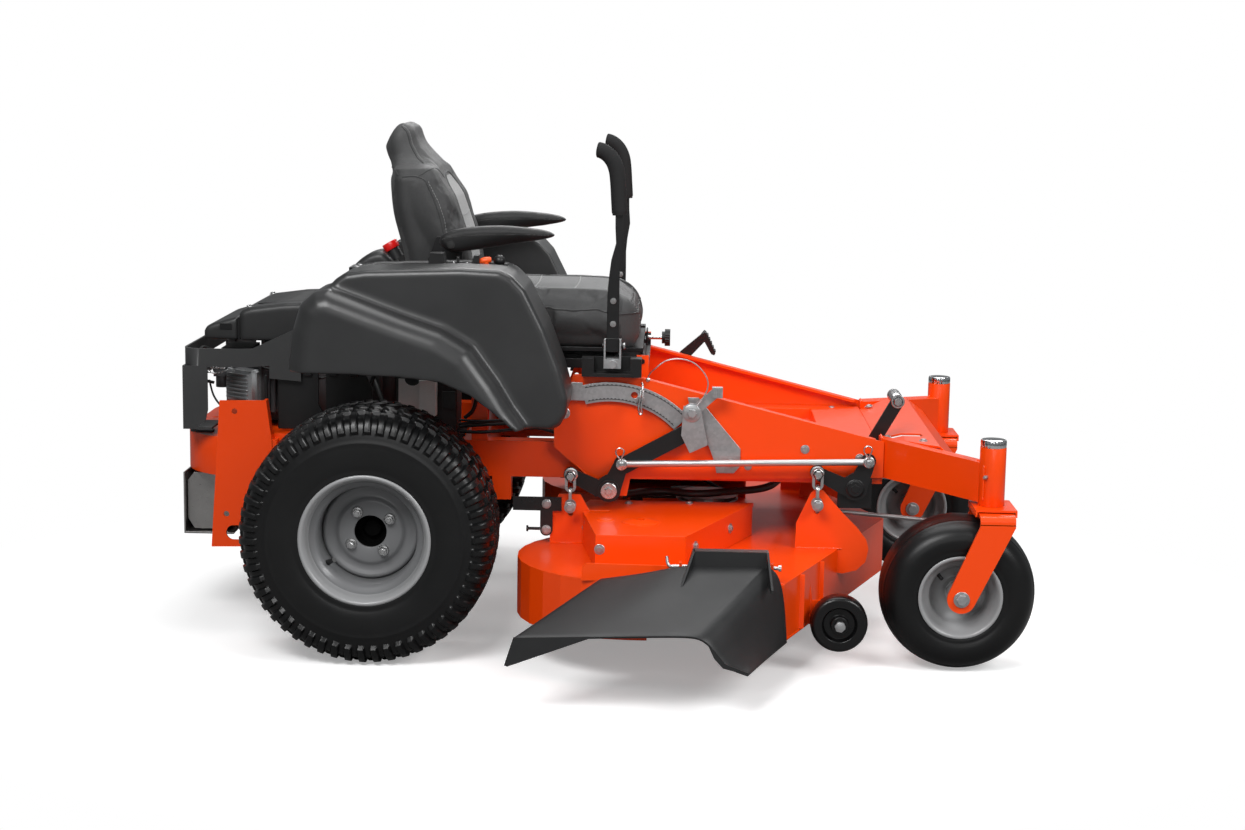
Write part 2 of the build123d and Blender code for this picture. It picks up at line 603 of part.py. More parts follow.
# ---------------------------------------------------------------- cutting deck
def deck_plan(inset):
    """(x, y) outline of the deck, shrunk by inset: three rear lobes and a pointed front."""
    def front_x(y):
        return 1173 - inset - 0.387 * abs(y)

    radius = HOUSE_R - inset
    right = arc_points(SPIN_X, -SPIN_Y, radius, 128, 270, 12)
    middle = arc_points(SPINC_X, 0, radius, 140, 220, 6)
    corner_x = front_x(DECK_HALF - inset) - 2
    corner_y = SPIN_Y + radius
    front = [(corner_x, -corner_y), (front_x(0), 0), (corner_x, corner_y)]
    return middle + right + front + [(x, -y) for x, y in reversed(right)]


def bolt_slot(shaft, y0, y1):
    """Upright slot in a hanger plate, its top at the chain's deck bolt."""
    x, z = offset(shaft, CHAIN_PIN)
    z -= CHAIN_DROP
    return round_bar((x, z), (x, z - 20), 6.3, y0, y1)


def deck_shell():
    under = DECK_TOP - DECK_T
    shell = (prism_z(deck_plan(0), DECK_BOT, DECK_TOP)
             - prism_z(deck_plan(DECK_T), DECK_BOT - 1, under))
    # discharge opening on the right-hand side
    shell -= box(SPIN_X + 40, SPIN_X + 290, -720, -690, DECK_BOT - 1, under)
    # raised chute flange along the right edge
    shell += prism_y([(470, DECK_TOP - 2), (472, 252), (480, 260), (690, 258),
                      (690, DECK_TOP - 2)], -700, -695)
    # skirt end plate in front of the discharge opening
    shell += prism_y([(862, DECK_BOT), (872, DECK_TOP), (898, DECK_TOP), (898, DECK_BOT)],
                     -712, -706)
    for x, y in SPINDLES.values():
        shell -= cyl_z(x, y, 34, 200, 260)
    for side in SIDES:
        # welded hanger plates for the chains
        y0, y1 = side * 343, side * 349
        foot = DECK_TOP - 1
        front = prism_y([(940, foot), (941, 283), (972, 352), (982, 360), (1000, 358),
                         (1047, 306), (1078, 276), (1100, 248), (1106, 226), (1100, 196),
                         (1080, 176), (1048, 168), (1045, foot)], y0, y1)
        front = front + prism_y([(1034, 170), (1048, 168), (1060, 200), (1060, 226),
                                 (1030, 226)], y0, y1)
        front -= bolt_slot(FRONT_LIFT, y0, y1)
        rear = prism_y([(384, foot), (384, 296), (404, 338), (452, 338), (476, 296),
                        (500, foot)], y0, y1)
        rear -= bolt_slot(REAR_LIFT, y0, y1)
        shell += front + rear
        # anti-scalp wheel arm
        y0, y1 = side * 528, side * 534
        arm = box(930, 1044, y0, y1, 96, 150) + prism_y([(930, 150), (970, 150), (960, 222),
                                                         (930, 222)], y0, y1)
        arm -= cyl_y(SCALP_X, SCALP_Z, 8, side * 500, side * 540)
        shell += arm
    # deflector hinge lugs
    for x0 in (676, 868):
        lug = prism_x([(-700, DECK_TOP - 2), (-728, 250), (-728, 272), (-708, 272),
                       (-690, DECK_TOP - 2)], x0, x0 + 6)
        shell += lug - cyl_x(*DEFL_HINGE, 4 + RUN, 600, 900)
    return [largest(shell)]


def belt_covers():
    covers = []
    for side in SIDES:
        outer = [(496, 600), (690, 600), (849, 215), (470, 215), (450, 300)]
        inner = [(500, 596), (687.3, 596), (843, 219), (474, 219), (454.3, 300)]
        outer, inner = ([(x, side * y) for x, y in points] for points in (outer, inner))
        cover = prism_z(outer, DECK_TOP + 0.3, 300) - prism_z(inner, DECK_TOP - 2, 296)
        cover -= box(400, 900, side * 214, side * 221, DECK_TOP, 290)   # belt opening
        cover -= cyl_z(SPIN_X + 20, side * SPIN_Y, 9, 290, 310)
        cover -= box(380, 520, side * 338, side * 353, DECK_TOP, 310)   # hanger plate slot
        covers.append(largest(cover))
    return covers


def spindle_housings():
    bore = 15 + RUN
    section = [(bore, 160), (33, 160), (33, 225.4), (66, 225.4), (66, 231), (40, 236), (36, 262),
               (bore, 262)]
    return [turn_z(section, x, y) for x, y in SPINDLES.values()]


def spindle(name):
    """Shaft, pulley, blade nut and blade."""
    x, y = SPINDLES[name]
    pulley = (stack_z(x, y, [(75, 266, 269), (62, 269, 277), (75, 277, 280)])
              - cyl_z(x, y, 15.0, 260, 290))
    place = Pos(x, y, BLADE_Z) * Rot(0, 0, BLADE_ANGLE[name])
    blade = place * (Box(BLADE_L, 63, 5) & Cylinder(BLADE_L / 2, 20))
    for end in (1, -1):
        # tilted wing near the tip
        blade += place * (Pos(end * 190, end * 24, 9) * Rot(end * 28, 0, 0) * Box(84, 26, 4))
    blade_top, blade_under = BLADE_Z + 2.5, BLADE_Z - 2.5
    shaft = cyl_z(x, y, 15, blade_top, 286) + cyl_z(x, y, 20, blade_top, 156)
    nut = hex_z(x, y, 18, BLADE_Z - 16, blade_under)
    return [shaft, pulley, nut, blade]


def deck_belt():
    """Belt round the three spindle pulleys."""
    band = belt(list(SPINDLES.values()), [62.6] * 3, 270, 276)
    return [band - cyl_z(SPINC_X, 0, 62.5, 260, 290)]


def deck_idler():
    """Pivoting arm with its pulley, spring and anchor post."""
    arm = box(560, 700, 128, 152, 238, 244) + cyl_z(572, 140, 16, DECK_TOP + 0.2, 250)
    arm += stack_z(690, 140, [(9, 244, 262), (34, 246, 250), (28, 250, 260), (34, 260, 264)])
    spring = (rod((578, 160, 241), (470, 200, 241), 8)
              + rod((600, 152, 241), (578, 160, 241), 3))
    anchor = cyl_z(470, 200, 5, DECK_TOP + 0.2, 252)
    return [arm + spring + anchor]


def chain_link(x, y, z0, z1, normal):
    """Upright oval link between two heights, lying across the normal."""
    width, wire_r = 19, 3.1
    spacing = 2 * ((z1 - z0) / 2 - width / 2 - wire_r)
    plane = Plane(origin=(x, y, (z0 + z1) / 2), x_dir=(0, 0, 1), z_dir=normal)
    outer = SlotCenterToCenter(spacing, width + 2 * wire_r)
    inner = SlotCenterToCenter(spacing, width - 2 * wire_r)
    return (extrude(plane * outer, amount=wire_r, both=True)
            - extrude(plane * inner, amount=2 * wire_r, both=True))


def deck_hangers():
    """Two welded links from each lift crank's pin to a bolt in the deck, and other hardware."""
    pieces = []
    for side in SIDES:
        for shaft in LIFTS:
            x, pin_z = offset(shaft, CHAIN_PIN)
            bolt_z = pin_z - CHAIN_DROP
            top = chain_link(x, side * 362, pin_z - 36.6, pin_z + 12.6, (0, -1, 0))
            low = chain_link(x, side * 362, bolt_z - 12.6, pin_z - 24, (1, 0, 0))
            bolt = (cyl_y(x, bolt_z, 6, side * 335, side * 378)
                    + hex_y(x, bolt_z, 10, side * 375, side * 382)
                    + hex_y(x, bolt_z, 10, side * 331, side * 337))
            pieces += [top - low, low - bolt, bolt]
        # level adjusting bar and strap on the rear hangers, with a small bolt
        y0, y1 = side * 349.2, side * 355
        bar = box(300, 382, y0, y1, 300, 331) + round_bar((376, 315), (376, 256), 14, y0, y1)
        bar += box(380, 410, y0, y1, 300, 331)
        pieces.append(bar)
        yc = side * 352
        pieces.append(rod((335, yc, 258), (361.5, yc, 258), 3.5)
                      + rod((331, yc, 258), (335, yc, 258), 7))
        # anti-scalp wheel bolt
        pieces.append(cyl_y(SCALP_X, SCALP_Z, 8, side * 526, side * 606)
                      + hex_y(SCALP_X, SCALP_Z, 12, side * 603, side * 611)
                      + hex_y(SCALP_X, SCALP_Z, 12, side * 519, side * 527.8))
    return pieces


def discharge_deflector():
    """Folded flap and its hinge rod."""
    y, z = DEFL_HINGE
    down, back, inward = (0, 0, -1), (-1, 0, 0), (0, 1, 0)
    inner_rear, inner_front = (512, -734, 236), (876, -734, 250)
    outer_front, outer_rear = (734, WIDE_R, 180), (346, WIDE_R, 165)
    flap = (triangle(inner_rear, inner_front, outer_front, 6, down)
            + triangle(inner_rear, outer_front, outer_rear, 6, down))
    # front wall and outer lips
    wall_top, wall_foot, wall_toe = (736, WIDE_R, 180), (818, WIDE_R, 101), (906, -734, 106)
    flap += (triangle((878, -734, 250), wall_top, wall_toe, 6, back)
             + triangle(wall_top, wall_foot, wall_toe, 6, back))
    flap += triangle(wall_top, (771, WIDE_R, 119), wall_foot, 6, inward)
    flap += triangle((350, WIDE_R, 165), (327, WIDE_R, 107), (500, WIDE_R, 168), 5, inward)
    # hinge box
    flap += (box(690, 858, -740, -734, 240, 300) + box(690, 694, -760, -712, 246, 300)
             + box(854, 858, -760, -712, 246, 300) + box(690, 858, -736, -712, 294, 300))
    for x0 in (700, 772, 844):
        flap += cyl_x(y, z, 9, x0, x0 + 10) + box(x0, x0 + 10, -738, y, z - 8, z + 8)
    flap -= cyl_x(y, z, 4, 600, 900)
    return [largest(flap), cyl_x(y, z, 4, 662, 884)]


def anti_scalp_wheel(side):
    bore = 8 + RUN
    section = [(-25, 38), (-25, 55), (-21, 60), (-10, 62), (10, 62), (21, 60), (25, 55), (25, 38),
               (12, 34), (12, 19), (30, 19), (30, bore), (-30, bore), (-30, 19), (-12, 19),
               (-12, 34)]
    return [Pos(0, side * 572, 0) * turn_y(section, SCALP_X, SCALP_Z)]


# ---------------------------------------------------------------- deck lift linkage
def lift_crank(shaft, side, long_arm):
    """Plate crank with an upper lobe for the link rod and a rear lobe for the chain."""
    x, z = shaft
    rod_x, rod_z = offset(shaft, ROD_PIN)
    chain_x, chain_z = offset(shaft, CHAIN_PIN)
    y0, y1 = side * 334, side * 341
    crank = prism_y([(x - 26, z + 14), (x - 22, z - 16), (x + 16, z - 22), (x + 27, z),
                     (rod_x + 17, rod_z), (rod_x - 16, rod_z + 4), (x - 4, z + 36)], y0, y1)
    crank += cyl_y(x, z, 27, y0, y1) + cyl_y(rod_x, rod_z, 17, y0, y1)
    crank += prism_y([(x - 6, z + 36), (x - 24, z + 24), (chain_x - 4, chain_z + 16),
                      (chain_x - 4, chain_z - 16), (x - 34, z - 12), (x, z - 24)], y0, y1)
    crank += cyl_y(chain_x, chain_z, 16.5, y0, y1)
    if long_arm:
        crank += round_bar((x + 34, z + 58), (x + 178, z + 138), 19, y0, y1)
    return crank


def lift_shaft(shaft, rear):
    """Cross shaft with a crank each end; the rear one adds collars and a long right arm."""
    chain_pin = offset(shaft, CHAIN_PIN)
    lift = cyl_y(*shaft, SHAFT_R, -350, 350)
    for side in SIDES:
        lift += lift_crank(shaft, side, rear and side < 0)
        lift += cyl_y(*chain_pin, 6, side * 338, side * 366)
        lift += hex_y(*chain_pin, 12, side * 366, side * 371)
        if rear:
            lift += cyl_y(*shaft, 24, side * 341, side * 347)
        lift -= cyl_y(*offset(shaft, ROD_PIN), 6 + RUN, side * 330, side * 345)
    return lift


def lift_shaft_rear():
    return [lift_shaft(REAR_LIFT, True)]


def lift_shaft_front():
    lift = lift_shaft(FRONT_LIFT, False)
    # pedal: flat arm on the shaft with a cross tube for the foot
    foot = (1174, 545)
    lift += round_bar(FRONT_LIFT, foot, 15, -218, -210)
    lift += cyl_y(*foot, 14, -214, -120)
    lift += cyl_y(*foot, 11, -226, -218)
    return [lift]


def link_rods():
    rods = []
    ends = [offset(shaft, ROD_PIN) for shaft in LIFTS]
    for side in SIDES:
        link = rod(*[(x, side * 351, z) for x, z in ends], 7.5)
        for x, z in ends:
            link += (cyl_y(x, z, 6, side * 333, side * 356)
                     + cyl_y(x, z, 12, side * 341.3, side * 357))
        rods.append(link)
    return rods


def lift_brackets():
    """Plates round the front lift shaft, outside the side panels."""
    return [box(1034, 1111, side * 317, side * 323, 314, 384)
            - cyl_y(*FRONT_LIFT, SHAFT_R + RUN, side * 300, side * 330) for side in SIDES]


def quadrant_point(degrees, radius=HOLE_R):
    """(x, z) on an arc about the rear lift shaft."""
    angle = math.radians(degrees)
    return REAR_LIFT[0] + radius * math.cos(angle), REAR_LIFT[1] + radius * math.sin(angle)


def height_quadrant():
    """Pierced arc with its mounting strap, and a latch bracket standing off the panel."""
    x, z = REAR_LIFT
    ring = cyl_y(x, z, QUAD_R1, -326, -320) - cyl_y(x, z, QUAD_R0, -330, -310)
    sector = prism_y([(x, z), quadrant_point(44, 400), (x + 300, z + 400), (x - 60, z + 400),
                      quadrant_point(106, 400)], -335, -310)
    quadrant = ring & sector
    quadrant += prism_y([(402, 549), (402, 590), (452, 590), (460, 549)], -326, -320)
    for degrees, radius in ((PIN_ANGLE, 5.5), (76.0, 7.5)):
        quadrant -= cyl_y(*quadrant_point(degrees), radius, -330, -310)
    for spacer in ((412, 570), quadrant_point(50)):
        quadrant += cyl_y(*spacer, 9, -320, -315.2)
    bracket = prism_y([(690, 560), (715, 560), (735, 535), (812, 445), (812, 405), (798, 388),
                       (754, 388), (706, 430), (700, 520)], -321, -317)
    bracket += cyl_y(770, 425, 8, -317, -315.1)
    return [largest(quadrant), bracket - cyl_y(x, z, QUAD_R1 + 1, -330, -310)]


def lock_lever():
    """Transport lock: plate and thumb tab turning on a bolt."""
    lock = prism_y([(681, 545), (677, 478), (697, 438), (737, 457), (722, 530), (716, 545)],
                   -351, -347)
    lock += cyl_y(*LOCK_PIV, 22, -351, -347)
    lock += round_bar(LOCK_PIV, (752, 576), 11, -351, -347) + box(744, 768, -362, -347, 566, 590)
    lock -= cyl_y(*LOCK_PIV, 6 + RUN, -360, -340)
    return [lock]


def chassis_fasteners():
    """Caps and bearings on the caster posts, the lock lever's bolt and a panel bolt."""
    pieces = []
    for side in SIDES:
        yc = side * POST_Y
        pieces.append(cyl_z(POST_X, yc, 27, 490.2, 507) - cyl_z(POST_X, yc, 20, 489, 501))
        for z0 in (363, 472):
            pieces.append(cyl_z(POST_X, yc, 23.9, z0, z0 + 17)
                          - cyl_z(POST_X, yc, 12.75, z0 - 1, z0 + 19))
    pieces.append(cyl_y(*LOCK_PIV, 6, -352, -321.2) + hex_y(*LOCK_PIV, 11, -358, -352.1))
    pieces.append(hex_y(*PANEL_BOLT, 9, -321, -315.2) + cyl_y(*PANEL_BOLT, 5, -315.3, -308))
    return pieces


def height_pin():
    place = quadrant_point(PIN_ANGLE)
    return [cyl_y(*place, 5, -352, -316) + cyl_y(*place, 9, -360, -352)]


# ---------------------------------------------------------------- steering levers
def lever_base(side):
    """Pivot pin and block with two ears that hold the lever's cross pin."""
    x, z = LEVER_PIV
    y0, y1 = side * 311, side * 333
    base = cyl_y(x, z, 9, side * 308, side * 343)
    base += box(x - 19.5, x + 19.5, y0, y1, z - 10, z + 12)
    for end in (-1, 1):
        base += box(x + end * 15.5, x + end * 19.5, y0, y1, 640, 690)
    base -= cyl_x(side * LEVER_Y, 674, 5 + RUN, 480, 560)
    return [base]


def lever(side):
    x = LEVER_PIV[0]
    y = side * LEVER_Y
    stalk = box(x - 15, x + 15, y - 6, y + 6, 660, 692)
    stalk += prism_y([(504.5, 688), (533, 688), (532, 800), (534, 868), (541, 905), (527, 905),
                      (512, 868), (505, 800)], y - 6, y + 6)
    stalk += prism_y([(512, 868), (534, 868), (541, 905), (538, 985), (520, 985), (526, 905)],
                     y - 6, y + 6)
    stalk += cyl_x(y, 674, 5, x - 24, x + 24)
    # grip, bent back at the top
    grip_r = 16
    bend, tip = (521, y, 1085), (492, y, 1108)
    stalk += rod((529, y, 960), bend, grip_r) + rod(bend, tip, grip_r)
    stalk += Pos(*bend) * Sphere(grip_r) + Pos(*tip) * Sphere(grip_r)
    return [stalk]


# ---------------------------------------------------------------- seat
def seat_pan():
    pan = (box(110, 600, -215, 215, 608, 613) + box(110, 114, -215, 215, 608, 634)
           + box(110, 560, -215, -211, 608, 630) + box(110, 560, 211, 215, 608, 630))
    for side in SIDES:
        pan += box(575, 600, side * 215, side * 222, 608, 640)
    pan += cyl_y(*SEAT_HINGE, 6, -234, 234)
    for side in SIDES:
        pan += box(150, 520, side * 130, side * 150, 613, 632)
    return [pan]


def seat_cushion():
    """Cushion, and the tray under it with two slides and a front knob."""
    cushion = box(130, 590, -228, 228, 652, 786)
    cushion = fillet(cushion.edges().filter_by(Axis.Z), 60)
    cushion = fillet(cushion.edges().group_by(Axis.Z)[-1], 30)
    right_slide, left_slide = [box(170, 500, side * 126, side * 154, 618, 651.8)
                               - box(160, 510, side * 129.5, side * 150.5, 600, 632.2)
                               for side in SIDES]
    tray = (box(150, 586, -200, 200, 646, 651.8) + box(586, 594.5, -30, 30, 646, 651.8)
            + box(590.5, 594.5, -30, 30, 640, 676))
    tray += cyl_x(0, 656, 5, 594, 634) + cyl_x(0, 656, 12, 632, 640) + cyl_x(0, 656, 19, 636, 648)
    return [cushion, tray + right_slide + left_slide]


def seat_back():
    back = prism_y([(68, 668), (43, 838), (14, 953), (1, 1052), (-10, 1080), (-18, 1106),
                    (-18, 1124), (2, 1150), (16, 1162), (26, 1163), (38, 1146), (46, 1112),
                    (66, 1083), (90, 1062), (135, 985), (165, 905), (188, 800), (190, 668)],
                   -205, 205)
    # sloped upper corners
    for side in SIDES:
        back -= prism_x([(side * 206, 1040), (side * 206, 1180), (side * 105, 1180),
                         (side * 118, 1120)], -20, 200)
    back -= box(60, 200, -240, 240, 600, 792)
    back += box(66, 128, -205, 205, 668, 800)
    # armrest brackets and pins
    for side in SIDES:
        back += box(70, 168, side * 205, side * 211, 800, 905)
        back += cyl_y(*ARM_PIV, 8, side * 205, side * 258)
    # keep the back clear of the cushion
    back -= box(129.5, 600, -240, 240, 600, 792)
    return [back]


def armrest(side):
    rest = prism_y([(126, 884), (122, 905), (140, 920), (190, 932), (260, 937), (330, 932),
                    (372, 926), (386, 914), (364, 906), (300, 897), (250, 888), (190, 876),
                    (150, 872)], side * 232, side * 288)
    return [rest - cyl_y(*ARM_PIV, 8 + RUN, side * 200, side * 262)]


# ---------------------------------------------------------------- small controls
def throttle_lever():
    return [box(262, 270, -403, -397, 836, 862) + Pos(269, -400, 868) * Sphere(13)]


def choke_knob():
    return [cyl_z(240, -402, 5.5, 828, 862) + rod((230, -402, 862), (247, -402, 868), 6.5)]


def brake_pedal():
    pedal = prism_y([(650, 474), (676, 470), (690, 552), (702, 571), (737, 609), (735, 631),
                     (728, 628), (674, 581), (664, 566)], 321, 329)
    pedal += prism_y([(727, 622), (735, 632), (740, 629), (764, 578), (761, 573), (753, 576)],
                     319.5, 375)
    pedal += cyl_y(*BRAKE_PIN, 16, 318, 330)
    pedal -= cyl_y(*BRAKE_PIN, 8 + RUN, 300, 340)
    return [pedal]


# ---------------------------------------------------------------- write every part
# each part's file takes the name of the function that builds it
SINGLE = (main_frame, side_panels, footplate, rear_bumper, engine_guard, engine_block,
          engine_covers, muffler, battery, engine_pulley, hydro_drives, drive_belt, consoles,
          fuel_tank, fuel_cap, hydraulic_reservoir, deck_shell, belt_covers, spindle_housings,
          deck_belt, deck_idler, deck_hangers, discharge_deflector, lift_shaft_rear,
          lift_shaft_front, link_rods, lift_brackets, height_quadrant, lock_lever,
          chassis_fasteners, height_pin, seat_pan, seat_cushion, seat_back, throttle_lever,
          choke_knob, brake_pedal)
PAIRED = (rear_tyre, rear_wheel, caster_fork, caster_tyre, caster_rim, fender, anti_scalp_wheel,
          lever_base, lever, armrest)

for build in SINGLE:
    write(build.__name__, *build())
for build in PAIRED:
    for side, side_name in SIDES.items():
        write(f"{build.__name__}_{side_name}", *build(side))
for spindle_name in SPINDLES:
    write(f"spindle_{spindle_name}", *spindle(spindle_name))
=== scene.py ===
"""Ride-on mower with two steering levers: detailed parts and materials over its CAD pieces.

Lengths are millimetres in the chassis frame unless noted: x runs forward, y to the left and
z up, with the origin on the ground below the middle of the rear axle. `side` is -1 on the
right and 1 on the left.
"""
import bpy
import bmesh
import math
import numpy as np
from mathutils import Vector, Matrix
from mathutils.bvhtree import BVHTree

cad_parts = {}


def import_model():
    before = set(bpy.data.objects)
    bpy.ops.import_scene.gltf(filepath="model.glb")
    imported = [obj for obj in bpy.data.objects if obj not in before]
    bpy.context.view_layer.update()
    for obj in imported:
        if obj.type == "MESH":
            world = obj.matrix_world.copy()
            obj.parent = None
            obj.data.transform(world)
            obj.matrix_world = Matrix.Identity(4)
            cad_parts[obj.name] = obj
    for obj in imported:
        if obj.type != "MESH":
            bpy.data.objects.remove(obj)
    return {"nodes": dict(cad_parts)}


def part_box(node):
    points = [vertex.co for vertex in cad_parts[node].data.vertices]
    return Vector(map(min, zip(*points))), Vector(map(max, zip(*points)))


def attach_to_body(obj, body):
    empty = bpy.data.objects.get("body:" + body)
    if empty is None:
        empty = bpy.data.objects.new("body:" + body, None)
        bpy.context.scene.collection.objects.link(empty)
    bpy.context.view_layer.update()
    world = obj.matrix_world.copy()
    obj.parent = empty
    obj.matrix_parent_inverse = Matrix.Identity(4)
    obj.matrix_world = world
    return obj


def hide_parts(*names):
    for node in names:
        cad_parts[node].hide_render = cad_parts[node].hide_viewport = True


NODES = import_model()["nodes"]
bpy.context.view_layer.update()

tyre_right, tyre_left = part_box("rear_tyre_right"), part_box("rear_tyre_left")
AXLE_X = (tyre_right[0].x + tyre_right[1].x) / 2
AXLE_Y = (tyre_right[0].y + tyre_left[1].y) / 2

SIDES = ((-1, "right"), (1, "left"))

# Driving dimensions shared by several parts.
REAR_WHEEL_Y = 502.5
REAR_RADIUS = 279.4
CASTER_X, CASTER_Y = 1288.0, 490.0
CASTER_RADIUS = 170.0
CASTER_POST_X = 1356
DECK_TOP = 226
SPINDLE_X, SPINDLE_Y = 571, 458
LIFT_REAR = (516.0, 347.0)      # x, z of the lift shafts
LIFT_FRONT = (1072.0, 363.0)


def to_world(point):
    """Chassis millimetres to world metres."""
    return (AXLE_X + point[0] / 1000.0, AXLE_Y + point[1] / 1000.0, point[2] / 1000.0)


# ======================================================================== shader building
MATERIALS = {}


def feed(tree, socket, value):
    """Links another socket or sets a value; a colour may leave out its alpha."""
    if isinstance(value, bpy.types.NodeSocket):
        tree.links.new(value, socket)
    elif hasattr(value, "__len__") and len(value) == 3 and len(socket.default_value) == 4:
        socket.default_value = list(value) + [1.0]
    else:
        socket.default_value = value


def add_node(tree, kind, inputs=None, **settings):
    node = tree.nodes.new("ShaderNode" + kind)
    for key, value in settings.items():
        setattr(node, key, value)
    for key, value in (inputs or {}).items():
        feed(tree, node.inputs[key], value)
    return node


class Shader:
    """A material with a Principled surface, patterned in object coordinates."""

    def __init__(self, name):
        self.material = bpy.data.materials.new(name)
        self.material.use_nodes = True
        self.tree = self.material.node_tree
        self.tree.nodes.clear()
        self.surface = self.node("BsdfPrincipled")
        self.output = self.node("OutputMaterial", {0: self.surface.outputs[0]})
        self.place = self.node("TexCoord").outputs["Object"]
        MATERIALS[name] = self.material

    def node(self, kind, inputs=None, **settings):
        return add_node(self.tree, kind, inputs, **settings)

    def set(self, **values):
        for key, value in values.items():
            feed(self.tree, self.surface.inputs[key.replace("_", " ")], value)

    def stretched(self, x, y, z):
        return self.node("Mapping", {0: self.place, "Scale": (x, y, z)}).outputs[0]

    def noise(self, scale, detail=3, roughness=0.5, vector=None):
        return self.node("TexNoise", {"Vector": vector or self.place, "Scale": scale,
                                      "Detail": detail, "Roughness": roughness}).outputs["Fac"]

    def cells(self, scale, feature="F1", output="Distance"):
        return self.node("TexVoronoi", {"Vector": self.place, "Scale": scale},
                         feature=feature).outputs[output]

    def wave(self, scale, axis):
        return self.node("TexWave", {"Vector": self.place, "Scale": scale, "Detail": 0},
                         bands_direction=axis).outputs["Fac"]

    def ramp(self, factor, *stops):
        """Grey ramp; the two stops are (position, value)."""
        node = self.node("ValToRGB", {0: factor})
        for element, (position, value) in zip(node.color_ramp.elements, stops):
            element.position = position
            element.color = (value, value, value, 1.0)
        return node.outputs[0]

    def math(self, operation, first, second=0.0):
        return self.node("Math", {0: first, 1: second}, operation=operation).outputs[0]

    def mix(self, factor, first, second):
        return self.node("Mix", {0: factor, 6: first, 7: second}, data_type="RGBA").outputs[2]

    def bump(self, height, strength, distance):
        node = self.node("Bump", {"Strength": strength, "Distance": distance, "Height": height})
        return node.outputs[0]

    def edge(self, radius):
        """1 along edges, where a rounded normal departs from the true one."""
        rounded = self.node("Bevel", {"Radius": radius}, samples=3)
        true = self.node("NewGeometry")
        dot = self.node("VectorMath", {0: rounded.outputs[0], 1: true.outputs["Normal"]},
                        operation="DOT_PRODUCT")
        away = self.math("SUBTRACT", 1.0, dot.outputs["Value"])
        return self.ramp(away, (0.03, 0.0), (0.25, 1.0))

    def edge_tint(self, colour, edge_colour, radius, weight):
        factor = self.math("MULTIPLY", self.edge(radius), weight)
        return self.mix(factor, colour, edge_colour)


def scaled(colour, gain, lift=0.0):
    return [x * gain + lift for x in colour]


# In the recipes below: rough is the mean roughness, spec the specular level, peel, grain_bump
# and relief the bump strengths, and edge the colour along edges: worn edges on paint, a painted
# highlight on plastic.
def paint(name, colour, rough, coat, peel, dirt, spec=0.5, edge=None):
    """Sprayed paint with faint blotches and orange peel; dirt is the depth of the blotches."""
    shader = Shader(name)
    blotch = shader.noise(scale=3.0, detail=4, roughness=0.6)
    sheen = shader.noise(scale=55.0, detail=4, roughness=0.6)
    base = shader.mix(shader.ramp(blotch, (0.35, 0.0), (0.7, 1.0)),
                      scaled(colour, 1 - dirt), scaled(colour, 1 + dirt * 0.5))
    if edge is not None:
        base = shader.edge_tint(base, edge, radius=0.0014, weight=0.5)
    fine = shader.noise(scale=420.0, detail=2, roughness=0.4)
    broad = shader.noise(scale=90.0, detail=2, roughness=0.5)
    height = shader.math("ADD", fine, shader.math("MULTIPLY", broad, 0.8))
    shader.set(Base_Color=base,
               Roughness=shader.ramp(sheen, (0.3, rough * 0.95), (0.7, rough * 1.05)),
               Coat_Weight=coat, Coat_Roughness=0.12, Specular_IOR_Level=spec,
               Normal=shader.bump(height, strength=peel, distance=0.0006))


def plastic(name, colour, rough, grain, grain_bump, spec=0.45, edge=None):
    """Moulded plastic; grain is the scale of its pebbled skin."""
    shader = Shader(name)
    pebble = shader.cells(grain)
    fine = shader.noise(scale=grain * 0.6, detail=3, roughness=0.6)
    blotch = shader.noise(scale=6.0, detail=4, roughness=0.6)
    base = shader.mix(shader.ramp(blotch, (0.3, 0.0), (0.7, 1.0)),
                      scaled(colour, 0.88), scaled(colour, 1.1))
    base = shader.mix(shader.ramp(pebble, (0.1, 0.0), (0.6, 0.25)), base, scaled(colour, 1.35))
    # the lighter edge colour along the plastic's edges is a painted highlight
    if edge is not None:
        base = shader.edge_tint(base, edge, radius=0.002, weight=0.45)
    shader.set(Base_Color=base, Specular_IOR_Level=spec,
               Roughness=shader.ramp(blotch, (0.25, rough * 0.9), (0.75, rough * 1.12)),
               Normal=shader.bump(shader.math("ADD", pebble, fine),
                                  strength=grain_bump, distance=0.0004))


def rubber(name, colour, rough, scale=260.0, relief=0.25, dust=0.03, spec=0.4):
    """Rubber with dust lying in its fine grain."""
    shader = Shader(name)
    fine = shader.noise(scale=scale, detail=4, roughness=0.65)
    blotch = shader.noise(scale=9.0, detail=5, roughness=0.65)
    base = shader.mix(shader.ramp(blotch, (0.35, 0.0), (0.75, 1.0)),
                      colour, scaled(colour, 1, dust * 0.25))
    base = shader.mix(shader.ramp(fine, (0.55, 0.0), (0.8, 0.3)), base, scaled(colour, 1, dust))
    shader.set(Base_Color=base, Specular_IOR_Level=spec,
               Roughness=shader.ramp(blotch, (0.3, rough * 0.85), (0.7, rough * 1.15)),
               Normal=shader.bump(fine, strength=relief, distance=0.0005))


def spangled_zinc(name, colour, rough):
    """Zinc plate: crystal cells that differ in brightness and gloss."""
    shader = Shader(name)
    cell = shader.node("RGBToBW", {0: shader.cells(150.0, output="Color")}).outputs[0]
    shader.set(Base_Color=shader.mix(shader.ramp(cell, (0.2, 0.0), (0.8, 1.0)),
                                     scaled(colour, 0.92), scaled(colour, 1.05)),
               Roughness=shader.ramp(cell, (0.1, rough * 0.95), (0.9, rough * 1.1)),
               Metallic=0.8,
               Normal=shader.bump(shader.noise(scale=60.0, detail=4, roughness=0.6),
                                  strength=0.03, distance=0.0004))


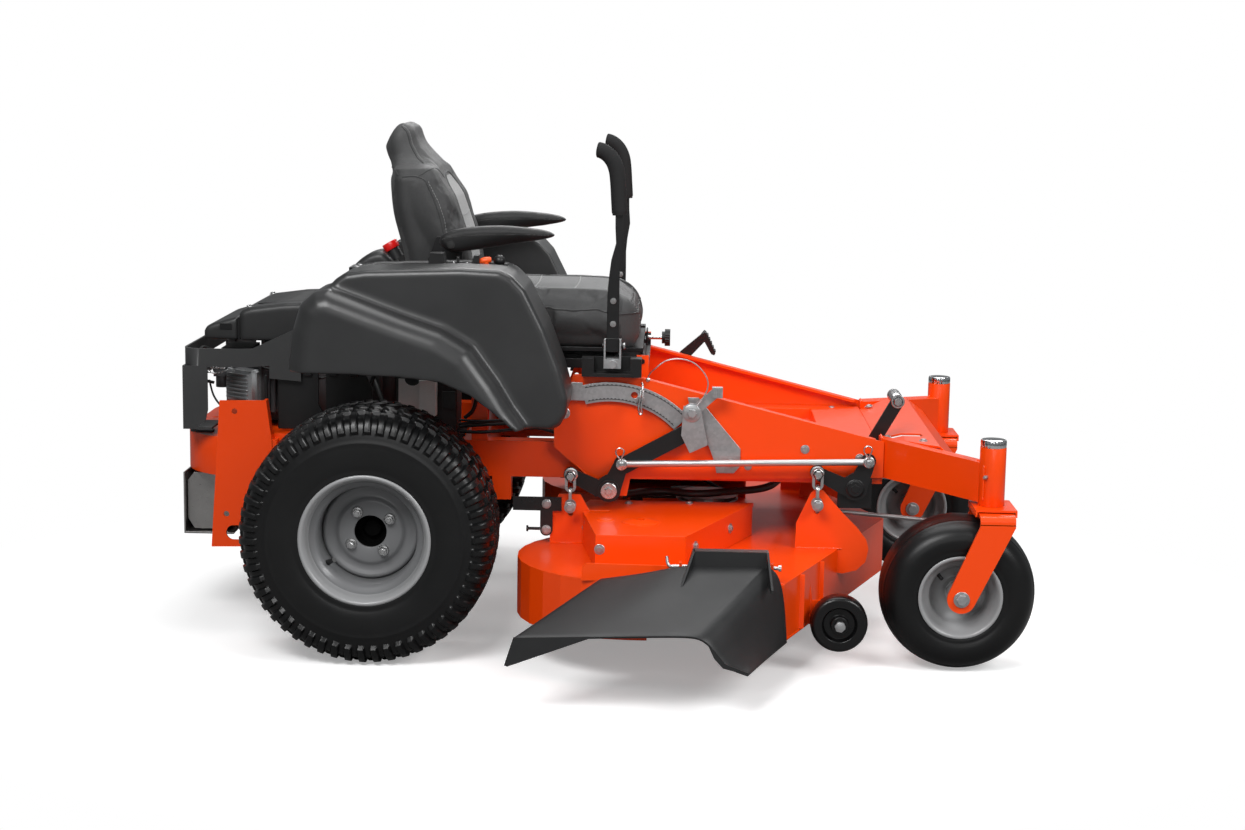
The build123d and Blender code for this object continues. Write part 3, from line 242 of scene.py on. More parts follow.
def metal(name, colour, rough, metallic=1.0, brush=0.0, scale=180.0, relief=0.12,
          dark=0.75, wear=True):
    """Bare metal; brush is the weight of brushed lines along x, dark the blotches' gain."""
    shader = Shader(name)
    height = shader.noise(scale=scale, detail=4, roughness=0.6)
    blotch = shader.noise(scale=14.0, detail=4, roughness=0.6)
    base = shader.mix(shader.ramp(blotch, (0.3, 0.0), (0.7, 1.0)), scaled(colour, dark), colour)
    if brush:
        lines = shader.noise(scale=60.0, detail=3, roughness=0.7,
                             vector=shader.stretched(1, 18, 18))
        gloss = shader.ramp(lines, (0.3, rough * 0.7), (0.7, rough * 1.4))
        height = shader.math("ADD", height, shader.math("MULTIPLY", lines, brush))
    else:
        gloss = shader.ramp(height, (0.3, rough * 0.75), (0.75, rough * 1.3))
    if wear:
        bright = [min(1, x) for x in scaled(colour, 1.5, 0.05)]
        base = shader.edge_tint(base, bright, radius=0.001, weight=0.35)
    shader.set(Base_Color=base, Roughness=gloss, Metallic=metallic,
               Normal=shader.bump(height, strength=relief, distance=0.0004))


def vinyl(name, colour, rough):
    """Creased upholstery vinyl."""
    shader = Shader(name)
    cell = shader.cells(520.0, feature="DISTANCE_TO_EDGE")
    fine = shader.noise(scale=60.0, detail=5, roughness=0.65)
    blotch = shader.noise(scale=7.0, detail=4, roughness=0.6)
    crease = shader.ramp(cell, (0.0, 0.0), (0.09, 1.0))
    base = shader.mix(shader.ramp(blotch, (0.3, 0.0), (0.7, 1.0)),
                      scaled(colour, 0.85), scaled(colour, 1.12))
    base = shader.mix(crease, scaled(colour, 0.6), base)
    height = shader.math("ADD", crease, shader.math("MULTIPLY", fine, 0.5))
    shader.set(Base_Color=base, Specular_IOR_Level=0.3, Sheen_Weight=0.04,
               Roughness=shader.ramp(fine, (0.3, rough * 0.85), (0.7, rough * 1.2)),
               Normal=shader.bump(height, strength=0.28, distance=0.0005))


def weave(name, colour):
    """Woven cloth and thread."""
    shader = Shader(name)
    along, across_, up = (shader.wave(210.0, axis) for axis in "XYZ")
    knit = shader.math("ADD", shader.math("MULTIPLY", along, across_),
                       shader.math("MULTIPLY", across_, up))
    fibre = shader.noise(scale=500.0, detail=3, roughness=0.7)
    blotch = shader.noise(scale=10.0, detail=4, roughness=0.6)
    base = shader.mix(shader.ramp(knit, (0.2, 0.0), (0.9, 1.0)),
                      scaled(colour, 0.72), scaled(colour, 1.12))
    base = shader.mix(shader.ramp(blotch, (0.35, 0.0), (0.7, 0.4)), base, scaled(colour, 0.88))
    height = shader.math("ADD", knit, shader.math("MULTIPLY", fibre, 0.5))
    shader.set(Base_Color=base, Roughness=0.8, Sheen_Weight=0.25, Sheen_Roughness=0.5,
               Specular_IOR_Level=0.25,
               Normal=shader.bump(height, strength=0.5, distance=0.0006))


def hanger_paint():
    """Black bars with bright steel links and bolts, told apart by their place on the node."""
    origin = NODES["deck_hangers"].matrix_world.inverted() @ Vector(to_world((0, 0, 0)))
    # x, its half range, z, its half range of each steel zone, metres in the chassis frame
    zones = ((0.430, 0.017, 0.348, 0.050), (0.986, 0.017, 0.364, 0.050),
             (1.026, 0.020, 0.111, 0.030))
    shader = Shader("hanger_steel_and_black")
    place = shader.node("SeparateXYZ", {0: shader.place}).outputs

    def near(value, target, reach):
        gap = shader.math("ABSOLUTE", shader.math("SUBTRACT", value, target))
        return shader.math("LESS_THAN", gap, reach)

    steel = None
    for x, reach_x, z, reach_z in zones:
        zone = shader.math("MULTIPLY", near(place["X"], origin.x + x, reach_x),
                           near(place["Z"], origin.z + z, reach_z))
        steel = zone if steel is None else shader.math("MAXIMUM", steel, zone)
    fine = shader.noise(scale=60.0, detail=3, roughness=0.6)
    bright = shader.mix(fine, (0.50, 0.50, 0.50), (0.58, 0.58, 0.58))
    shader.set(Base_Color=shader.mix(steel, (0.0065, 0.0065, 0.007), bright), Metallic=steel,
               Roughness=shader.ramp(fine, (0.3, 0.26), (0.7, 0.34)),
               Normal=shader.bump(fine, strength=0.03, distance=0.0004))


def make_materials():
    paint("orange_paint", (0.84, 0.058, 0.0004), rough=0.34, coat=0.22,
          edge=(0.95, 0.15, 0.01), peel=0.03, dirt=0.02, spec=0.28)
    paint("black_paint", (0.0065, 0.0065, 0.007), rough=0.36, coat=0.15,
          edge=(0.05, 0.05, 0.05), peel=0.08, dirt=0.1, spec=0.35)
    paint("grey_paint", (0.036, 0.0365, 0.037), rough=0.45, coat=0.05,
          edge=(0.09, 0.09, 0.09), peel=0.2, dirt=0.1, spec=0.35)
    paint("rim_paint", (0.15, 0.152, 0.156), rough=0.36, coat=0.2,
          edge=(0.25, 0.25, 0.25), peel=0.05, dirt=0.06)
    # a lighter copy of rim_paint: a painted highlight on the rear rims' rolled lips; the caster
    # rims are made of it all over
    paint("rim_lip", (0.27, 0.272, 0.276), rough=0.34, coat=0.2,
          edge=(0.40, 0.40, 0.40), peel=0.05, dirt=0.06)
    spangled_zinc("zinc_plate", (0.44, 0.445, 0.45), rough=0.34)
    metal("steel_bright", (0.60, 0.60, 0.60), rough=0.27, relief=0.01, scale=60.0, dark=0.92,
          wear=False)
    metal("chrome", (0.86, 0.87, 0.88), rough=0.07, relief=0.03)
    metal("bare_steel", (0.42, 0.42, 0.42), rough=0.38, brush=0.6, relief=0.15)
    metal("muffler_steel", (0.42, 0.41, 0.40), rough=0.34, metallic=0.95, relief=0.03,
          wear=False)
    metal("rod_steel", (0.50, 0.50, 0.50), rough=0.40, metallic=0.85, relief=0.0, scale=40.0,
          dark=0.95, wear=False)
    metal("cast_alloy", (0.50, 0.51, 0.52), rough=0.34, metallic=0.85, scale=420.0, relief=0.3)
    metal("cast_iron", (0.075, 0.075, 0.078), rough=0.5, metallic=0.4, scale=300.0, relief=0.5)
    rubber("tyre_rubber", (0.0042, 0.0043, 0.0045), rough=0.34, dust=0.002, relief=0.10,
           spec=0.36)
    rubber("caster_rubber", (0.0045, 0.0046, 0.0048), rough=0.36, dust=0.002, relief=0.05,
           spec=0.3)
    rubber("wheel_rubber", (0.004, 0.004, 0.0043), rough=0.28, dust=0.003, relief=0.06,
           spec=0.35)
    rubber("flap_rubber", (0.016, 0.0163, 0.0168), rough=0.42, dust=0.006, relief=0.12,
           spec=0.35)
    rubber("belt_rubber", (0.014, 0.014, 0.014), rough=0.7, dust=0.02)
    rubber("hose_rubber", (0.009, 0.009, 0.009), rough=0.42, dust=0.01)
    rubber("foam_grip", (0.012, 0.0122, 0.0126), rough=0.82, scale=900.0, relief=0.5,
           dust=0.02, spec=0.25)
    plastic("grey_plastic", (0.0215, 0.0218, 0.0222), rough=0.34, grain=700.0, grain_bump=0.12)
    plastic("cover_plastic", (0.019, 0.0193, 0.0196), rough=0.42, grain=700.0,
            grain_bump=0.14, spec=0.4)
    # its lighter edge colour is a painted highlight
    plastic("black_plastic", (0.0065, 0.0065, 0.0068), rough=0.38, grain=800.0,
            grain_bump=0.12, edge=(0.03, 0.03, 0.03), spec=0.35)
    # near-black painted shade for the hub recesses behind the rear wheels' discs
    paint("hole_black", (0.0015, 0.0015, 0.0015), rough=0.8, coat=0.0, peel=0.02, dirt=0.05,
          spec=0.1)
    plastic("tank_plastic", (0.013, 0.013, 0.0135), rough=0.4, grain=300.0, grain_bump=0.25)
    plastic("reservoir_plastic", (0.022, 0.022, 0.023), rough=0.42, grain=300.0,
            grain_bump=0.25)
    plastic("battery_case", (0.016, 0.016, 0.017), rough=0.45, grain=500.0, grain_bump=0.2)
    plastic("red_plastic", (0.78, 0.012, 0.010), rough=0.35, grain=500.0, grain_bump=0.12)
    plastic("orange_plastic", (0.80, 0.085, 0.01), rough=0.4, grain=500.0, grain_bump=0.15)
    plastic("white_plastic", (0.62, 0.62, 0.61), rough=0.45, grain=500.0, grain_bump=0.12)
    plastic("label_plastic", (0.55, 0.55, 0.54), rough=0.4, grain=900.0, grain_bump=0.05)
    vinyl("seat_vinyl", (0.034, 0.0343, 0.0348), rough=0.5)
    # a lighter copy of seat_vinyl, put on the pads' faces by which way they point: painted light
    vinyl("seat_side", (0.058, 0.0585, 0.059), rough=0.52)
    weave("seat_insert", (0.34, 0.34, 0.34))
    weave("cushion_insert", (0.115, 0.116, 0.117))
    vinyl("arm_vinyl", (0.009, 0.009, 0.0094), rough=0.46)
    weave("thread", (0.30, 0.30, 0.30))
    weave("thread_dark", (0.02, 0.02, 0.02))
    hanger_paint()


# ======================================================================== shared helpers
def link_object(name, mesh):
    made = bpy.data.objects.new(name, mesh)
    bpy.context.scene.collection.objects.link(made)
    return made


def attach(made, body, replaces=()):
    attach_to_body(made, body)
    if replaces:
        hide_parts(*replaces)


def add_modifier(made, name, kind, **settings):
    modifier = made.modifiers.new(name, kind)
    for key, value in settings.items():
        setattr(modifier, key, value)


def add_bevel(made, width, angle, **settings):
    add_modifier(made, "bevel", "BEVEL", width=width / 1000.0, segments=2,
                 limit_method="ANGLE", angle_limit=math.radians(angle), **settings)


def give_materials(mesh, names):
    for name in [names] if isinstance(names, str) else names:
        mesh.materials.append(MATERIALS[name])


def spline(points, steps, closed=False):
    """Catmull-Rom curve through the points."""
    knots = [Vector(p) for p in points]
    n = len(knots)
    curve = []
    for i in range(n if closed else n - 1):
        if closed:
            a, b, c, d = (knots[(i + k) % n] for k in (-1, 0, 1, 2))
        else:
            a, b, c, d = (knots[min(max(i + k, 0), n - 1)] for k in (-1, 0, 1, 2))
        for j in range(steps):
            t = j / steps
            curve.append(0.5 * ((2 * b) + (c - a) * t + (2 * a - 5 * b + 4 * c - d) * t * t
                                + (3 * b - a - 3 * c + d) * t ** 3))
    if not closed:
        curve.append(knots[-1])
    return curve


def smooth_outline(outline, steps):
    return [(p.x, p.y) for p in spline([(x, z, 0) for x, z in outline], steps, True)]


def polar(centre, radius, angle):
    return centre[0] + radius * math.cos(angle), centre[1] + radius * math.sin(angle)


def mirrored(half):
    """A half profile turned to the other side of the centre plane, in reverse order."""
    return [(-a, r) for a, r in reversed(half)]


def across(direction, up=None):
    """Two unit vectors square to a unit direction and to each other."""
    if up is None:
        up = Vector((0, 0, 1)) if abs(direction.z) < 0.9 else Vector((1, 0, 0))
    first = (up - direction * up.dot(direction)).normalized()
    return first, direction.cross(first)


def ring(centre, first, second, radius, count, turn=0.0):
    angles = [turn + 2 * math.pi * k / count for k in range(count)]
    return [centre + (first * math.cos(a) + second * math.sin(a)) * radius for a in angles]


def coil(start, advance, count, steps, radius):
    """Points of a helix along x: advance per point, steps to a turn."""
    x, y, z = start
    return [(x + advance * k, y + radius * math.cos(2 * math.pi * k / steps),
             z + radius * math.sin(2 * math.pi * k / steps)) for k in range(count)]


# direction of each axis, then the two directions its circles are drawn in
AXES = {"X": ((1, 0, 0), (0, 1, 0), (0, 0, 1)),
        "Y": ((0, 1, 0), (1, 0, 0), (0, 0, 1)),
        "Z": ((0, 0, 1), (1, 0, 0), (0, 1, 0))}


class Shape:
    """Collects closed solids into one mesh; material is an index into its slots."""

    def __init__(self):
        self.points = []
        self.faces = []
        self.slots = []

    def add(self, points, faces, material=0):
        start = len(self.points)
        self.points += [tuple(p) for p in points]
        self.faces += [tuple(i + start for i in face) for face in faces]
        self.slots += [material] * len(faces)

    def lathe(self, profile, centre, axis="Y", steps=48, material=0, sign=1, closed=True,
              flute=None):
        """Turns (along, radius) points; flute(step, along, radius) may alter the radius."""
        line, first, second = AXES[axis] if isinstance(axis, str) else axis
        points = []
        faces = []
        for k in range(steps):
            angle = 2 * math.pi * k / steps
            cosine, sine = math.cos(angle), math.sin(angle)
            for along, radius in profile:
                if flute:
                    radius = flute(k, along, radius)
                points.append([centre[i] + sign * along * line[i]
                               + radius * (cosine * first[i] + sine * second[i])
                               for i in range(3)])
        size = len(profile)
        for k in range(steps):
            here, after = k * size, (k + 1) % steps * size
            for i in range(size if closed else size - 1):
                j = (i + 1) % size
                if profile[i][1] >= 1e-6 or profile[j][1] >= 1e-6:
                    faces.append((here + i, here + j, after + j, after + i))
        self.add(points, faces, material)

    def loft(self, rings, material=0, closed=False):
        """Skin over equal rings, capped unless closed on itself."""
        count, size = len(rings), len(rings[0])
        faces = []
        for i in range(count if closed else count - 1):
            here, after = i * size, (i + 1) % count * size
            for k in range(size):
                j = (k + 1) % size
                faces.append((here + k, here + j, after + j, after + k))
        if not closed:
            faces.append(tuple(range(size))[::-1])
            faces.append(tuple(range((count - 1) * size, count * size)))
        self.add([p for section in rings for p in section], faces, material)

    def tube(self, path, radius, count=10, material=0, closed=False, smooth=0):
        """Round tube; radius is one value or a list spread evenly along the path."""
        path = spline(path, smooth) if smooth else [Vector(p) for p in path]
        size = len(path)
        radii = radius if hasattr(radius, "__len__") else [radius] * size
        if len(radii) != size:
            radii = list(np.interp(np.linspace(0, 1, size),
                                   np.linspace(0, 1, len(radii)), radii))
        up = None
        rings = []
        for i in range(size):
            if closed:
                tangent = (path[(i + 1) % size] - path[i - 1]).normalized()
            else:
                tangent = (path[min(i + 1, size - 1)] - path[max(i - 1, 0)]).normalized()
            up, second = across(tangent, up)
            rings.append(ring(path[i], up, second, radii[i], count))
        self.loft(rings, material, closed)

    def solid(self, bottom, top, material=0):
        """Two matching outlines, capped and joined."""
        n = len(bottom)
        faces = [tuple(range(n))[::-1], tuple(range(n, 2 * n))]
        faces += [(i, (i + 1) % n, n + (i + 1) % n, n + i) for i in range(n)]
        self.add(list(bottom) + list(top), faces, material)

    def prism(self, outline, axis, start, end, material=0):
        """Outline pushed along an axis: Y takes (x, z), Z takes (x, y), X takes (y, z)."""
        def at(p, along):
            return {"Y": (p[0], along, p[1]), "Z": (p[0], p[1], along),
                    "X": (along, p[0], p[1])}[axis]
        self.solid([at(p, start) for p in outline], [at(p, end) for p in outline], material)

    def box(self, x0, x1, y0, y1, z0, z1, material=0):
        self.prism([(x0, y0), (x1, y0), (x1, y1), (x0, y1)], "Z", z0, z1, material)

    def stack(self, place, direction, sections, count, material=0, turn=0.0):
        """Polygons of (radius, height) standing along a direction."""
        place, direction = Vector(place), Vector(direction).normalized()
        first, second = across(direction)
        self.loft([ring(place + direction * height, first, second, radius, count, turn)
                   for radius, height in sections], material)

    def bolt(self, place, direction, radius, height, material=0, washer=1.45, stud=0.0,
             turn=0.0):
        """Chamfered hexagon head; washer is its radius over the head's, stud a length."""
        thick = 1.6
        if washer:
            rim = radius * washer
            self.stack(place, direction, [(rim, -0.2), (rim, thick * 0.7),
                                          (rim * 0.94, thick)], 24, material)
        foot = thick * 0.9 if washer else 0
        self.stack(place, direction, [(radius, foot), (radius, height * 0.82),
                                      (radius * 0.86, height)], 6, material, turn)
        if stud:
            self.stack(place, direction,
                       [(radius * 0.52, height - 0.2), (radius * 0.52, height + stud * 0.8),
                        (radius * 0.42, height + stud)], 16, material)

    def bolts(self, places, direction, radius, height, **options):
        for place in places:
            self.bolt(place, direction, radius, height, **options)

    def dome(self, place, direction, radius, height, material=0):
        """Domed round head."""
        sections = [(radius, 0), (radius * 0.97, height * 0.35), (radius * 0.7, height * 0.75),
                    (radius * 0.3, height)]
        self.stack(place, direction, sections, 20, material)

    def weld(self, start, end, radius):
        """Weld bead: a rope of small lobes, four points to each 5 mm."""
        start, end = Vector(start), Vector(end)
        n = max(2, int((end - start).length / 5.0) * 4)
        radii = [radius * (0.82 + 0.18 * math.cos(i * math.pi / 2)
                           + 0.05 * math.sin(i * 1.7 + 1)) for i in range(n + 1)]
        radii[0] = radii[-1] = radius * 0.5
        self.tube([start.lerp(end, i / n) for i in range(n + 1)], radii, 8)

    def make(self, name, materials, body="chassis", slot=None, bevel=0.0, sharp=38.0,
             replaces=(), smooth=True):
        """Builds the object; slot is not used."""
        mesh = bpy.data.meshes.new(name)
        mesh.from_pydata([to_world(p) for p in self.points], [], self.faces)
        give_materials(mesh, materials)
        mesh.polygons.foreach_set("material_index", self.slots)
        work = bmesh.new()
        work.from_mesh(mesh)
        bmesh.ops.remove_doubles(work, verts=work.verts, dist=1e-6)
        bmesh.ops.dissolve_degenerate(work, edges=work.edges, dist=1e-7)
        bmesh.ops.recalc_face_normals(work, faces=work.faces)
        work.to_mesh(mesh)
        work.free()
        mesh.polygons.foreach_set("use_smooth", [smooth] * len(mesh.polygons))
        if smooth and not bevel:
            mesh.set_sharp_from_angle(angle=math.radians(sharp))
        made = link_object(name, mesh)
        if bevel:
            add_bevel(made, bevel, 32.0, harden_normals=True, miter_outer="MITER_ARC")
        if slot is None:
            slot = materials if isinstance(materials, str) else materials[0]
        attach(made, body, replaces)


# ======================================================================== distance fields
def grid(range_x, range_y, range_z, step):
    """Three axes shaped to broadcast together, with a margin round the given ranges."""
    x, y, z = (np.arange(low - 2 * step, high + 2.5 * step, step, dtype=np.float32)
               for low, high in (range_x, range_y, range_z))
    return x[:, None, None], y[None, :, None], z[None, None, :]


def outline_field(outline, x, z):
    """Signed distance to a closed (x, z) outline, negative inside."""
    shape = np.broadcast_shapes(x.shape, z.shape)
    squared = np.full(shape, 1e12, np.float64)
    sign = np.ones(shape)
    for i in range(len(outline)):
        (ax, az), (bx, bz) = outline[i], outline[i - 1]
        edge_x, edge_z = bx - ax, bz - az
        gap_x, gap_z = x - ax, z - az
        t = np.clip((gap_x * edge_x + gap_z * edge_z)
                    / (edge_x * edge_x + edge_z * edge_z + 1e-12), 0, 1)
        squared = np.minimum(squared, (gap_x - edge_x * t) ** 2 + (gap_z - edge_z * t) ** 2)
        above, below, left = z >= az, z < bz, edge_x * gap_z > edge_z * gap_x
        flip = (above & below & left) | (~above & ~below & ~left)
        sign = np.where(flip, -sign, sign)
    return sign * np.sqrt(squared)


def corner_distance(a, b):
    return np.minimum(np.maximum(a, b), 0) + np.sqrt(np.maximum(a, 0) ** 2
                                                     + np.maximum(b, 0) ** 2)


def round_join(outline, slab, radius):
    """Meet of an outline's and a slab's distances, with a rounded edge."""
    return corner_distance(outline + radius, slab + radius) - radius


def extruded(outline, axes, centre, half_width, radius):
    """Outline pushed across y, with rounded edges."""
    return round_join(outline_field(outline, axes[0], axes[2]),
                      np.abs(axes[1] - centre) - half_width, radius)


def smooth_union(a, b, blend):
    share = np.clip(0.5 + 0.5 * (b - a) / blend, 0, 1)
    return b * (1 - share) + a * share - blend * share * (1 - share)


def smooth_step(x):
    x = np.clip(x, 0, 1)
    return x * x * (3 - 2 * x)


def blur(field):
    for axis in range(3):
        field = np.moveaxis(field, axis, 0)
        soft = field.copy()
        soft[1:-1] = 0.25 * field[:-2] + 0.5 * field[1:-1] + 0.25 * field[2:]
        field = np.moveaxis(soft, 0, axis)
    return field


def surface_nets(field, origin, step):
    """Quad mesh of the field's zero surface: one point per crossed cell."""
    inside = field < 0
    nx, ny, nz = field.shape
    count = np.zeros((nx - 1, ny - 1, nz - 1), np.int8)
    corners = [(i, j, k) for i in (0, 1) for j in (0, 1) for k in (0, 1)]
    for i, j, k in corners:
        count += inside[i:nx - 1 + i, j:ny - 1 + j, k:nz - 1 + k]
    cells = np.argwhere((count > 0) & (count < 8))
    ci, cj, ck = cells.T
    total = np.zeros((len(cells), 3))
    crossings = np.zeros(len(cells))
    for low in corners:
        for axis in range(3):
            if low[axis] == 1:
                continue
            high = list(low)
            high[axis] = 1
            start = field[ci + low[0], cj + low[1], ck + low[2]].astype(np.float64)
            end = field[ci + high[0], cj + high[1], ck + high[2]].astype(np.float64)
            crossed = (start < 0) != (end < 0)
            t = np.where(crossed, start / np.where(crossed, start - end, 1.0), 0.0)
            place = np.tile(np.array(low, float), (len(cells), 1))
            place[:, axis] += t
            total[crossed] += place[crossed]
            crossings[crossed] += 1
    points = np.array(origin, float) + step * (cells + total / crossings[:, None])
    index = np.full(count.shape, -1, np.int64)
    index[ci, cj, ck] = np.arange(len(cells))
    faces = []
    for axis in range(3):
        u, v = (axis + 1) % 3, (axis + 2) % 3
        first, second = [slice(None)] * 3, [slice(None)] * 3
        first[axis], second[axis] = slice(0, -1), slice(1, None)
        before, after = inside[tuple(first)], inside[tuple(second)]
        edges = np.argwhere(before != after)
        edges = edges[(edges[:, u] >= 1) & (edges[:, u] < field.shape[u] - 1)
                      & (edges[:, v] >= 1) & (edges[:, v] < field.shape[v] - 1)]
        outward = before[edges[:, 0], edges[:, 1], edges[:, 2]]
        quad = []
        for du, dv in ((-1, -1), (0, -1), (0, 0), (-1, 0)):
            cell = edges.copy()
            cell[:, u] += du
            cell[:, v] += dv
            quad.append(index[cell[:, 0], cell[:, 1], cell[:, 2]])
        quads = np.stack(quad, 1)
        quads[~outward] = quads[~outward][:, ::-1]
        faces.append(quads)
    return points, np.concatenate(faces)


def mesh_object(name, points, quads, materials, smooth=2, decimate=0.0):
    mesh = bpy.data.meshes.new(name)
    placed = points / 1000 + np.array([AXLE_X, AXLE_Y, 0.0])
    mesh.vertices.add(len(points))
    mesh.vertices.foreach_set("co", placed.astype(np.float32).ravel())
    corners = len(quads) * 4
    mesh.loops.add(corners)
    mesh.loops.foreach_set("vertex_index", quads.astype(np.int32).ravel())
    mesh.polygons.add(len(quads))
    mesh.polygons.foreach_set("loop_start", np.arange(0, corners, 4, dtype=np.int32))
    give_materials(mesh, materials)
    mesh.polygons.foreach_set("use_smooth", np.ones(len(quads), bool))
    mesh.update(calc_edges=True)
    mesh.validate()
    made = link_object(name, mesh)
    if smooth:
        add_modifier(made, "smooth", "SMOOTH", factor=0.5, iterations=smooth)
    if decimate:
        add_modifier(made, "dec", "DECIMATE", ratio=decimate)
    return made


def field_object(name, field, axes, step, materials, mirror=False, **options):
    """Meshes a field; mirror reflects it from the left side to the right."""
    origin = [axis.flat[0] for axis in axes]
    points, quads = surface_nets(field.astype(np.float32), origin, step)
    if mirror:
        points[:, 1] *= -1
        quads = quads[:, ::-1]
    return mesh_object(name, points, quads, materials, **options)


def apply_modifiers(made):
    graph = bpy.context.evaluated_depsgraph_get()
    mesh = bpy.data.meshes.new_from_object(made.evaluated_get(graph),
                                           preserve_all_data_layers=True, depsgraph=graph)
    old = made.data
    made.modifiers.clear()
    made.data = mesh
    bpy.data.meshes.remove(old)


# ======================================================================== CAD pieces that stay
# node: (material, bevel width)
KEPT_NODES = {
    "main_frame": ("orange_paint", 2.0), "side_panels": ("orange_paint", 1.6),
    "footplate": ("orange_paint", 1.4), "rear_bumper": ("orange_paint", 1.6),
    "engine_guard": ("grey_paint", 1.5), "muffler": ("muffler_steel", 2.5),
    "battery": ("battery_case", 2.0), "hydro_drives": ("cast_iron", 2.5),
    "consoles": ("black_plastic", 1.6), "fuel_tank": ("tank_plastic", 6.0),
    "height_quadrant": ("zinc_plate", 0.8), "chassis_fasteners": ("steel_bright", 0.8),
    "drive_belt": ("belt_rubber", 0.8), "lift_brackets": ("black_paint", 1.0),
    "engine_pulley": ("bare_steel", 0.8), "deck_shell": ("orange_paint", 1.6),
    "belt_covers": ("orange_paint", 2.6), "spindle_housings": ("cast_iron", 1.6),
    "deck_belt": ("belt_rubber", 0.8), "deck_idler": ("black_paint", 0.8),
    "deck_hangers": ("hanger_steel_and_black", 0.9), "spindle_right": ("bare_steel", 0.8),
    "spindle_centre": ("bare_steel", 0.8), "spindle_left": ("bare_steel", 0.8),
    "lift_shaft_rear": ("black_paint", 1.0), "lift_shaft_front": ("black_paint", 1.0),
    "link_rods": ("rod_steel", 1.0), "lock_lever": ("zinc_plate", 0.9),
    "lever_base_right": ("zinc_plate", 1.0), "lever_base_left": ("zinc_plate", 1.0),
    "seat_pan": ("black_paint", 1.2), "throttle_lever": ("black_plastic", 0.5),
    "choke_knob": ("orange_plastic", 0.8), "brake_pedal": ("black_paint", 1.2),
    "height_pin": ("steel_bright", 0.8), "engine_block": ("cast_iron", 2.0),
    "anti_scalp_wheel_right": ("wheel_rubber", 2.0),
    "anti_scalp_wheel_left": ("wheel_rubber", 2.0),
}


def dress_nodes():
    for node, (material, bevel) in KEPT_NODES.items():
        kept = NODES[node]
        for slot in kept.material_slots:
            slot.link = "OBJECT"
            slot.material = MATERIALS[material]
        if not kept.material_slots:
            kept.data.materials.append(MATERIALS[material])
        add_modifier(kept, "weld", "WELD", merge_threshold=0.00002)
        add_modifier(kept, "flat", "DECIMATE", decimate_type="DISSOLVE",
                     angle_limit=math.radians(0.6))
        add_bevel(kept, bevel, 34, use_clamp_overlap=True, harden_normals=True)


# ======================================================================== rear wheels
# (y from the wheel's centre plane, radius), from the bead up to the shoulder
REAR_SIDEWALL = [
    (108.0, 132.3), (112.5, 134.5), (115.5, 139.0), (117.2, 144.5), (117.8, 149.5),
    (117.0, 153.0), (118.6, 157.5), (120.4, 165.0), (121.6, 174.0), (122.3, 184.0),
    (122.5, 194.0), (122.4, 203.0), (122.0, 209.0), (122.6, 212.0), (122.5, 214.5),
    (121.4, 217.0), (120.4, 224.0), (119.6, 228.0), (119.0, 231.0), (118.3, 234.0),
    (117.5, 237.0), (116.0, 242.0), (114.2, 247.0), (112.0, 251.5), (109.5, 255.3),
    (106.5, 258.5), (103.0, 261.2), (99.0, 263.4), (95.0, 265.0), (91.0, 266.2),
    (87.0, 267.1), (84.0, 267.8), (81.0, 268.3)]
# (y outward from the centre plane, radius)
RIM_LIP = [
    (113.5, 143.6), (115.6, 144.6), (117.6, 143.2), (119.2, 141.6), (119.6, 139.0),
    (118.6, 136.2), (115.5, 133.6), (111.0, 131.2), (108.0, 129.4), (100, 127.6),
    (92, 126.6), (86.5, 125.0)]
RIM_BARREL = [
    (86.5, 125.0), (81, 121.0), (76, 114.5), (71.5, 110.4), (66, 108.6), (40, 108.2),
    (-40, 108.2), (-66, 108.6), (-76, 114.5), (-84, 124.0), (-100, 127.6), (-108, 129.4)]
RIM_BACK = [
    (-108, 129.4), (-116.5, 134.5), (-119, 139), (-117.6, 143.2), (-113.5, 143.6),
    (-112.5, 133.0), (-82, 129.2), (-67, 112.3), (67, 112.3), (82, 129.2), (112.5, 133.0),
    (113.5, 143.6)]
RIM_DISC = [
    (16.5, 35.6), (17.2, 37.0), (17.2, 66.0), (16.2, 70.0), (12.5, 74.5), (10.6, 78.0),
    (10.2, 84.0), (11.4, 91.0), (14.2, 96.0), (15.0, 100.0), (13.2, 104.0), (8.5, 106.6),
    (2.0, 108.0), (-8, 108.3), (-8, 110.5), (0, 110.5), (4.0, 109.0), (8, 102), (6.5, 88),
    (5.5, 78), (9, 72), (11, 66), (11, 35.6)]
TREAD_PITCHES, PITCH_STEPS = 54, 12


def pulse(phase, start, end, soft):
    """1 for phase between start and end on a unit circle, with soft sides."""
    phase = np.mod(phase - (start + end) / 2 + 0.5, 1.0) - 0.5
    return smooth_step(((end - start) / 2 - np.abs(phase)) / soft + 0.5)


def tread_height(phase, y, radius):
    """Lug height at a phase counted in pitches; the left half is a quarter pitch behind."""
    off = np.abs(y)
    stagger = 0.25 * (y > 0)
    shoulder = (pulse(phase + 0.0022 * (off - 80) + stagger, 0.06, 0.58, 0.07)
                * smooth_step((off - 79) / 2.5) * smooth_step((radius - 232.0) / 4.0) * 8.6)
    middle = (pulse(phase + 0.010 * (off - 60) + 0.5 + stagger, 0.12, 0.86, 0.10)
              * smooth_step((off - 44) / 3.0) * smooth_step((75 - off) / 3.0) * 7.5)
    chevron = (pulse(phase + 0.013 * off + 0.15, 0.14, 0.86, 0.10)
               * smooth_step((40 - off) / 3.0) * smooth_step((off - 3) / 2.5 + 0.2) * 7.8)
    sipe = 1 - 0.45 * pulse(phase * 2 + 0.004 * off, 0.46, 0.54, 0.06) * (off > 44) * (off < 75)
    return shoulder + middle * sipe + chevron


